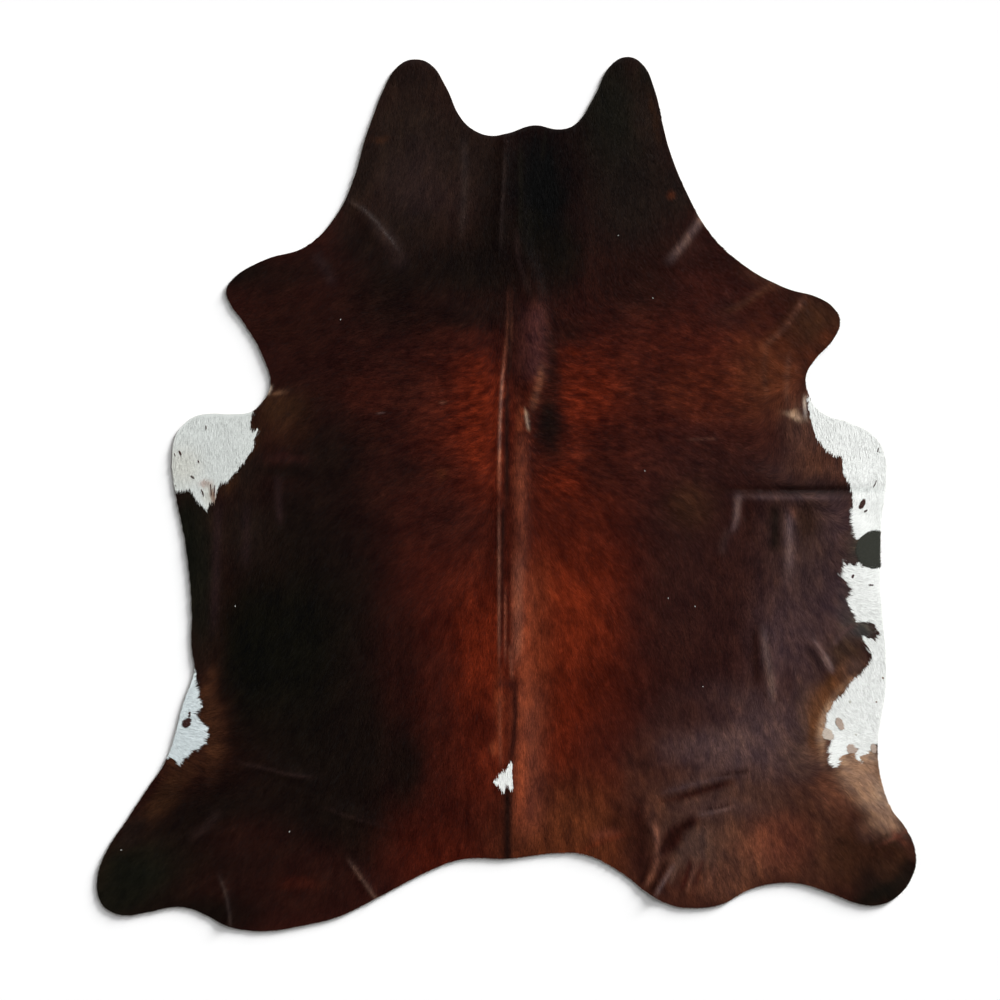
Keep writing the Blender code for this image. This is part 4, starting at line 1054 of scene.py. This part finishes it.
def flat_leather(relief):
    """The leather cut out flat: its points, its triangles, and how many of its first points are its edge."""
    low, high = relief.edge.min(0), relief.edge.max(0)
    pitch = LATTICE * 3**0.5 / 2
    lattice = [
        (x, y)
        for row, y in enumerate(np.arange(low[1], high[1], pitch))
        for x in np.arange(low[0] + LATTICE / 2 * (row % 2), high[0], LATTICE)
    ]
    creases = [
        rows_beside(smooth_line(fold.route), (0, -fold.half_width, fold.half_width), CREASE_STEP)
        for fold in FINE_FOLDS
    ]
    points = np.concatenate([*creases, np.array(lattice)])
    points = points[relief.at(relief.depth, points) > LATTICE / 2]
    points = spaced(points, relief.edge)
    corners = [Vector(point) for point in np.concatenate([relief.edge, points])]
    edge = list(range(len(relief.edge)))
    cut = geometry.delaunay_2d_cdt(corners, [], [edge], 1, 1e-6)
    return np.array([tuple(point) for point in cut[0]]), np.array(cut[2]), len(edge)


def planar(points, low, size, corner=(0.0, 0.0), scale=1.0):
    """Where points lie on the texture, as a flat map of the hide."""
    return np.array(corner) + scale * (points - low) / size


def rim_on_map(count):
    """Where the corners of the rim's faces lie on the texture, as one long strip."""
    left, width, lower, upper = RIM_ON_MAP
    share = np.arange(count) / count
    start, end = left + width * share, left + width * (share + 1 / count)
    lower, upper = np.full(count, lower), np.full(count, upper)
    return np.stack([start, lower, end, lower, end, upper, start, upper], 1).reshape(-1, 2)


def set_uv(mesh, per_loop):
    layer = mesh.uv_layers.new(name="OFBake")
    layer.data.foreach_set("uv", np.ascontiguousarray(per_loop, np.float32).ravel())


def set_colours(mesh, per_vertex):
    layer = mesh.color_attributes.new("coat", "FLOAT_COLOR", "POINT")
    rgba = np.column_stack([per_vertex, np.ones(len(per_vertex))])
    layer.data.foreach_set("color", np.ascontiguousarray(rgba, np.float32).ravel())


def make_leather(relief):
    """The leather: a thin closed sheet on the solid's folds, hair side up."""
    flat, triangles, edge_count = flat_leather(relief)
    a, b, c = (flat[triangles[:, k]] for k in range(3))
    clockwise = (b[:, 0] - a[:, 0]) * (c[:, 1] - a[:, 1]) < (b[:, 1] - a[:, 1]) * (c[:, 0] - a[:, 0])
    triangles[clockwise] = triangles[clockwise][:, ::-1]
    count = len(flat)
    height = relief.ground(flat)
    under = np.column_stack([flat, height])
    top = np.column_stack([flat, height + LEATHER])
    ring = np.arange(edge_count)
    following = np.roll(ring, -1)
    winding = np.sum(flat[ring, 0] * flat[following, 1] - flat[following, 0] * flat[ring, 1])
    if winding < 0:
        ring, following = following, ring
    rim = np.stack([ring, following, following + count, ring + count], 1)
    mesh = bpy.data.meshes.new("leather")
    faces = (triangles + count).tolist() + triangles[:, ::-1].tolist() + rim.tolist()
    mesh.from_pydata(np.concatenate([under, top]).tolist(), [], faces)
    mesh.shade_smooth()
    mesh.set_sharp_from_angle(angle=SHARP)
    low, size = flat.min(0), (flat.max(0) - flat.min(0)).max()
    on_top = planar(flat, low, size, *TOP_ON_MAP)[triangles].reshape(-1, 2)
    on_under = planar(flat, low, size, *UNDER_ON_MAP)[triangles[:, ::-1]].reshape(-1, 2)
    set_uv(mesh, np.concatenate([on_top, on_under, rim_on_map(edge_count)]))
    colours, white = coat(relief, flat)
    colours = pigment(colours) * np.where(white, WHITE_SKIN_SHADE, DARK_SKIN_SHADE)[:, None]
    set_colours(mesh, np.concatenate([colours, colours]))
    piece = new_piece("leather", mesh, coat_material("hair_side", 0.6), suede_material())
    suede = np.zeros(len(mesh.polygons), np.int32)
    suede[len(triangles):] = 1
    mesh.polygons.foreach_set("material_index", suede)
    return piece


def shading_normals(relief, points, lean):
    """Normals that follow the leather's relief, so that the coat shines as one, but for each hair's lean."""
    slopes = relief.at(relief.slopes, points) + lean
    normals = np.column_stack([-slopes, np.ones(len(points))])
    return normals / np.linalg.norm(normals, axis=1)[:, None]


def blade_corners(roots, turns, lengths, widths):
    """Each blade's corners (x, y): its root, its right and left shoulders, and its tip."""
    ahead = steps_along(turns)
    aside = np.stack([-np.sin(turns), np.cos(turns)], 1) * (widths / 2)[:, None]
    middle = roots + ahead * (SHOULDER * lengths)[:, None]
    return np.stack([roots, middle - aside, middle + aside, roots + ahead * lengths[:, None]], 1)


def blades(name, relief, corners, lifts, colours, rng):
    """Flat narrow blades of hair that lie on the leather, coloured at their corners."""
    count = len(corners)
    places = corners.reshape(-1, 2)
    above = np.column_stack([np.full(count, -ROOT_DEPTH), lifts, lifts, lifts * TIP_LIFT]).ravel()
    skin = relief.ground(places) + LEATHER + SKIN_GAP
    first = 4 * np.arange(count)[:, None]
    faces = np.concatenate([first + np.array([0, 1, 2]), first + np.array([2, 1, 3])], 1).reshape(-1, 3)
    mesh = bpy.data.meshes.new(name)
    mesh.from_pydata(np.column_stack([places, skin + above]).tolist(), [], faces.tolist())
    low, high = relief.edge.min(0), relief.edge.max(0)
    size = (high - low).max() + 2 * COAT_MARGIN
    set_uv(mesh, planar(places, low - COAT_MARGIN, size)[faces.ravel()])
    root_to_tip = np.tile(BLADE_ROOT_TIP_SHADING, count)[:, None]
    set_colours(mesh, pigment(colours.reshape(-1, 3)) * root_to_tip)
    mesh.shade_smooth()
    aside = corners[:, 2] - corners[:, 1]
    aside /= np.linalg.norm(aside, axis=1)[:, None]
    lean = np.repeat(aside * rng.normal(0.0, LEAN, (count, 1)), 4, axis=0)
    mesh.normals_split_custom_set_from_vertices(shading_normals(relief, places, lean).tolist())
    return mesh


def make_layer(index, relief, material):
    """One layer of the coat, scattered over the whole hide."""
    rng = np.random.default_rng(100 + index)
    low, high = relief.edge.min(0), relief.edge.max(0)
    wanted = BLADES
    roots = rng.uniform(low, high, (int(wanted * np.prod(high - low) / AREA), 2))
    roots = roots[relief.at(relief.depth, roots) > EDGE_GAP]
    count = len(roots)
    clump = noise(roots, CLUMP_SIZE, 21 + index)
    turns = heading(roots) + SWAY * noise(roots, SWAY_SIZE, 31) + CLUMP_SWAY * clump
    turns = turns + rng.normal(0.0, STRAY, count)
    lengths = BLADE_LENGTH * rng.uniform(*LENGTHS, count)
    ahead = steps_along(turns)
    middle = roots + ahead * (SHOULDER * lengths)[:, None]
    pale, white = coat(relief, middle + wandering(roots, RAGGED, RAGGED_SIZE, (41, 42)))
    for _ in range(3):
        over = -relief.at(relief.depth, roots + ahead * lengths[:, None]) - OVERHANG
        lengths = np.where(over > 0, np.maximum(lengths - over * SHORTENED, LEAST_LENGTH), lengths)
    corners = blade_corners(roots, turns, lengths, BLADE_WIDTH * rng.uniform(*WIDTHS, count))
    colours = relief.at(relief.colours, corners.reshape(-1, 2)).reshape(count, 4, 3)
    colours[white] = pale[white][:, None]
    white_shade = 1 - WHITE_SPREAD * rng.random(count)
    dark_shade = np.exp(DARK_SPREAD * rng.normal(0.0, 1.0, count))
    shade = np.where(white, white_shade, dark_shade)
    lifts = rng.uniform(*SHOULDER_LIFTS, count) + CLUMP_LIFT * clump
    mesh = blades(f"coat_{index}", relief, corners, lifts, colours * shade[:, None, None], rng)
    return new_piece(f"coat_{index}", mesh, material)


def spot_hairs(spot, rng):
    """The roots and headings of one spot's hairs, and their length."""
    count = int(SPOT_HAIRS + SPOT_DENSITY * spot.half_width * spot.half_height)
    spread = rng.uniform(-1, 1, (count * 2, 2))
    spread = spread[np.hypot(spread[:, 0], spread[:, 1]) < 1][:count]
    x, y = turned(spread[:, 0] * spot.half_width, spread[:, 1] * spot.half_height, spot.turn)
    places = np.stack([spot.x + x, spot.y + y], 1)
    longest, shortest = 0.010, 0.002
    reach = min(longest, 0.7 * spot.half_height + shortest)
    turns = heading(places) + rng.normal(0, MARK_STRAY, len(places))
    return places - steps_along(turns) * reach / 2, turns, reach


def make_marks(relief, material):
    """Short hair on top of the coat, for the small spots and the single white hairs."""
    rng = np.random.default_rng(7)
    specks = np.array(SPECKS)
    sets = [(*spot_hairs(spot, rng), spot.colour) for spot in SPOTS]
    speck_turns = heading(specks) + rng.normal(0, SPECK_STRAY, len(specks))
    sets.append((specks, speck_turns, SPECK_LENGTH, "snow"))
    roots = np.concatenate([row[0] for row in sets])
    turns = np.concatenate([row[1] for row in sets])
    lengths = np.concatenate([np.full(len(row[0]), row[2]) for row in sets])
    colours = np.concatenate([np.tile(PAINT[row[3]], (len(row[0]), 1)) for row in sets])
    keep = relief.at(relief.depth, roots) > MARK_EDGE_GAP
    roots, turns, lengths, colours = roots[keep], turns[keep], lengths[keep], colours[keep]
    count = len(roots)
    colours *= rng.uniform(*MARK_SHADES, (count, 1))
    lengths = lengths * rng.uniform(*MARK_LENGTHS, count)
    corners = blade_corners(roots, turns, lengths, np.full(count, MARK_WIDTH))
    lifts = rng.uniform(*MARK_LIFTS, count)
    mesh = blades("coat_marks", relief, corners, lifts, np.repeat(colours[:, None], 4, axis=1), rng)
    return new_piece("coat_marks", mesh, material)


# ---------------------------------------------------------------- materials

def new_material(name):
    material = bpy.data.materials.new(name)
    material.use_nodes = True
    tree = material.node_tree
    return material, tree, tree.nodes["Principled BSDF"]


def set_inputs(node, **values):
    """Set a node's inputs, with an underscore for each space in an input's name."""
    for name, value in values.items():
        node.inputs[name.replace("_", " ")].default_value = value


def coat_material(name, roughness):
    """Hair: its colour is the coat's colour attribute, painted sheen and shade included, broken up by fine
    streaks.
    """
    material, tree, shader = new_material(name)
    own = tree.nodes.new("ShaderNodeVertexColor")
    own.layer_name = "coat"
    place = tree.nodes.new("ShaderNodeTexCoord")
    grain = tree.nodes.new("ShaderNodeTexNoise")
    set_inputs(grain, Scale=420.0, Detail=2.0)
    spread = tree.nodes.new("ShaderNodeMapRange")
    set_inputs(spread, To_Min=0.86, To_Max=1.14)
    tint = tree.nodes.new("ShaderNodeVectorMath")
    tint.operation = "SCALE"
    link = tree.links.new
    link(place.outputs["Object"], grain.inputs["Vector"])
    link(grain.outputs["Fac"], spread.inputs["Value"])
    link(own.outputs["Color"], tint.inputs[0])
    link(spread.outputs["Result"], tint.inputs["Scale"])
    link(tint.outputs["Vector"], shader.inputs["Base Color"])
    set_inputs(shader, Roughness=roughness, Specular_IOR_Level=0.09)
    return material


def suede_material():
    """The flesh side and the cut rim: pale tanned suede."""
    material, tree, shader = new_material("suede")
    place = tree.nodes.new("ShaderNodeTexCoord")
    cloudy = tree.nodes.new("ShaderNodeTexNoise")
    set_inputs(cloudy, Scale=9.0, Detail=6.0)
    shades = tree.nodes.new("ShaderNodeValToRGB")
    shades.color_ramp.elements[0].color = (0.40, 0.33, 0.25, 1)
    shades.color_ramp.elements[1].color = (0.58, 0.51, 0.41, 1)
    nap = tree.nodes.new("ShaderNodeTexNoise")
    set_inputs(nap, Scale=900.0)
    bump = tree.nodes.new("ShaderNodeBump")
    set_inputs(bump, Strength=0.4, Distance=0.0005)
    link = tree.links.new
    link(place.outputs["Object"], cloudy.inputs["Vector"])
    link(place.outputs["Object"], nap.inputs["Vector"])
    link(cloudy.outputs["Fac"], shades.inputs["Fac"])
    link(shades.outputs["Color"], shader.inputs["Base Color"])
    link(nap.outputs["Fac"], bump.inputs["Height"])
    link(bump.outputs["Normal"], shader.inputs["Normal"])
    set_inputs(shader, Roughness=0.92, Specular_IOR_Level=0.2, Sheen_Weight=0.2)
    return material


def floor_material():
    material, _, shader = new_material("pale_floor")
    set_inputs(shader, Base_Color=(0.95, 0.95, 0.95, 1), Roughness=0.9, Specular_IOR_Level=0.0)
    return material


# ---------------------------------------------------------------- the stage

def make_floor():
    half, level = 40.0, -0.0004
    mesh = bpy.data.meshes.new("floor")
    corners = [(x, y, level) for x, y in ((-half, -half), (half, -half), (half, half), (-half, half))]
    mesh.from_pydata(corners, [], [(0, 1, 2, 3)])
    floor = new_piece("floor", mesh, floor_material())
    return floor


def sun(name, strength, azimuth, elevation, softness, lit):
    """A sun that shines from this azimuth, counter-clockwise from +X, on these pieces alone."""
    light = bpy.data.lights.new(name, "SUN")
    light.energy = strength
    light.angle = math.radians(softness)
    lamp = bpy.data.objects.new(name, light)
    a, e = math.radians(azimuth), math.radians(elevation)
    towards = Vector((math.cos(a) * math.cos(e), math.sin(a) * math.cos(e), math.sin(e)))
    lamp.rotation_euler = towards.to_track_quat("Z", "Y").to_euler()
    bpy.context.scene.collection.objects.link(lamp)
    group = bpy.data.collections.new(f"lit_by_{name}")
    for piece in lit:
        group.objects.link(piece)
    lamp.light_linking.receiver_collection = group


def make_world():
    """An even studio: bright near the horizon, and dim overhead."""
    world = bpy.data.worlds.new("studio")
    bpy.context.scene.world = world
    world.use_nodes = True
    tree = world.node_tree
    place = tree.nodes.new("ShaderNodeTexCoord")
    split = tree.nodes.new("ShaderNodeSeparateXYZ")
    blend = tree.nodes.new("ShaderNodeMapRange")
    blend.interpolation_type = "SMOOTHSTEP"
    set_inputs(blend, From_Min=0.05, From_Max=0.65, To_Min=1.0, To_Max=0.05)
    link = tree.links.new
    link(place.outputs["Generated"], split.inputs["Vector"])
    link(split.outputs["Z"], blend.inputs["Value"])
    link(blend.outputs["Result"], tree.nodes["Background"].inputs["Strength"])
    set_inputs(tree.nodes["Background"], Color=(1, 1, 1, 1))


def make_camera():
    """Straight above, with the neck at the top of the picture."""
    width, lens, sensor = 2.5, 85.0, 36.0  # of the picture in metres, and two of the camera in mm
    x, y = -0.01625, -0.015  # of the picture's middle
    data = bpy.data.cameras.new("camera")
    data.lens = lens
    data.sensor_width = sensor
    camera = bpy.data.objects.new("camera", data)
    camera.location = (x, y, width * lens / sensor + SOLID_THICKNESS)
    bpy.context.scene.collection.objects.link(camera)
    bpy.context.scene.camera = camera


def main():
    relief = Relief(cut_edge())
    leather = make_leather(relief)
    hair = coat_material("hair", 0.38)
    coat_pieces = [make_layer(index, relief, hair) for index in range(LAYERS)]
    coat_pieces.append(make_marks(relief, hair))
    pieces = [leather, *coat_pieces]
    for piece in pieces:
        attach(piece, "root")
    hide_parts("hide")
    floor = make_floor()
    make_world()
    # strength, azimuth, elevation and softness of each sun, and what it lights
    sun("key", 5.0, 48, 40, 14, pieces)
    sun("low_shadow", 11.2, 45, 10, 14, [floor])
    sun("high_shadow", 1.6, 45, 32, 34, [floor])
    make_camera()
    bpy.context.scene.view_settings.view_transform = "Standard"


main()
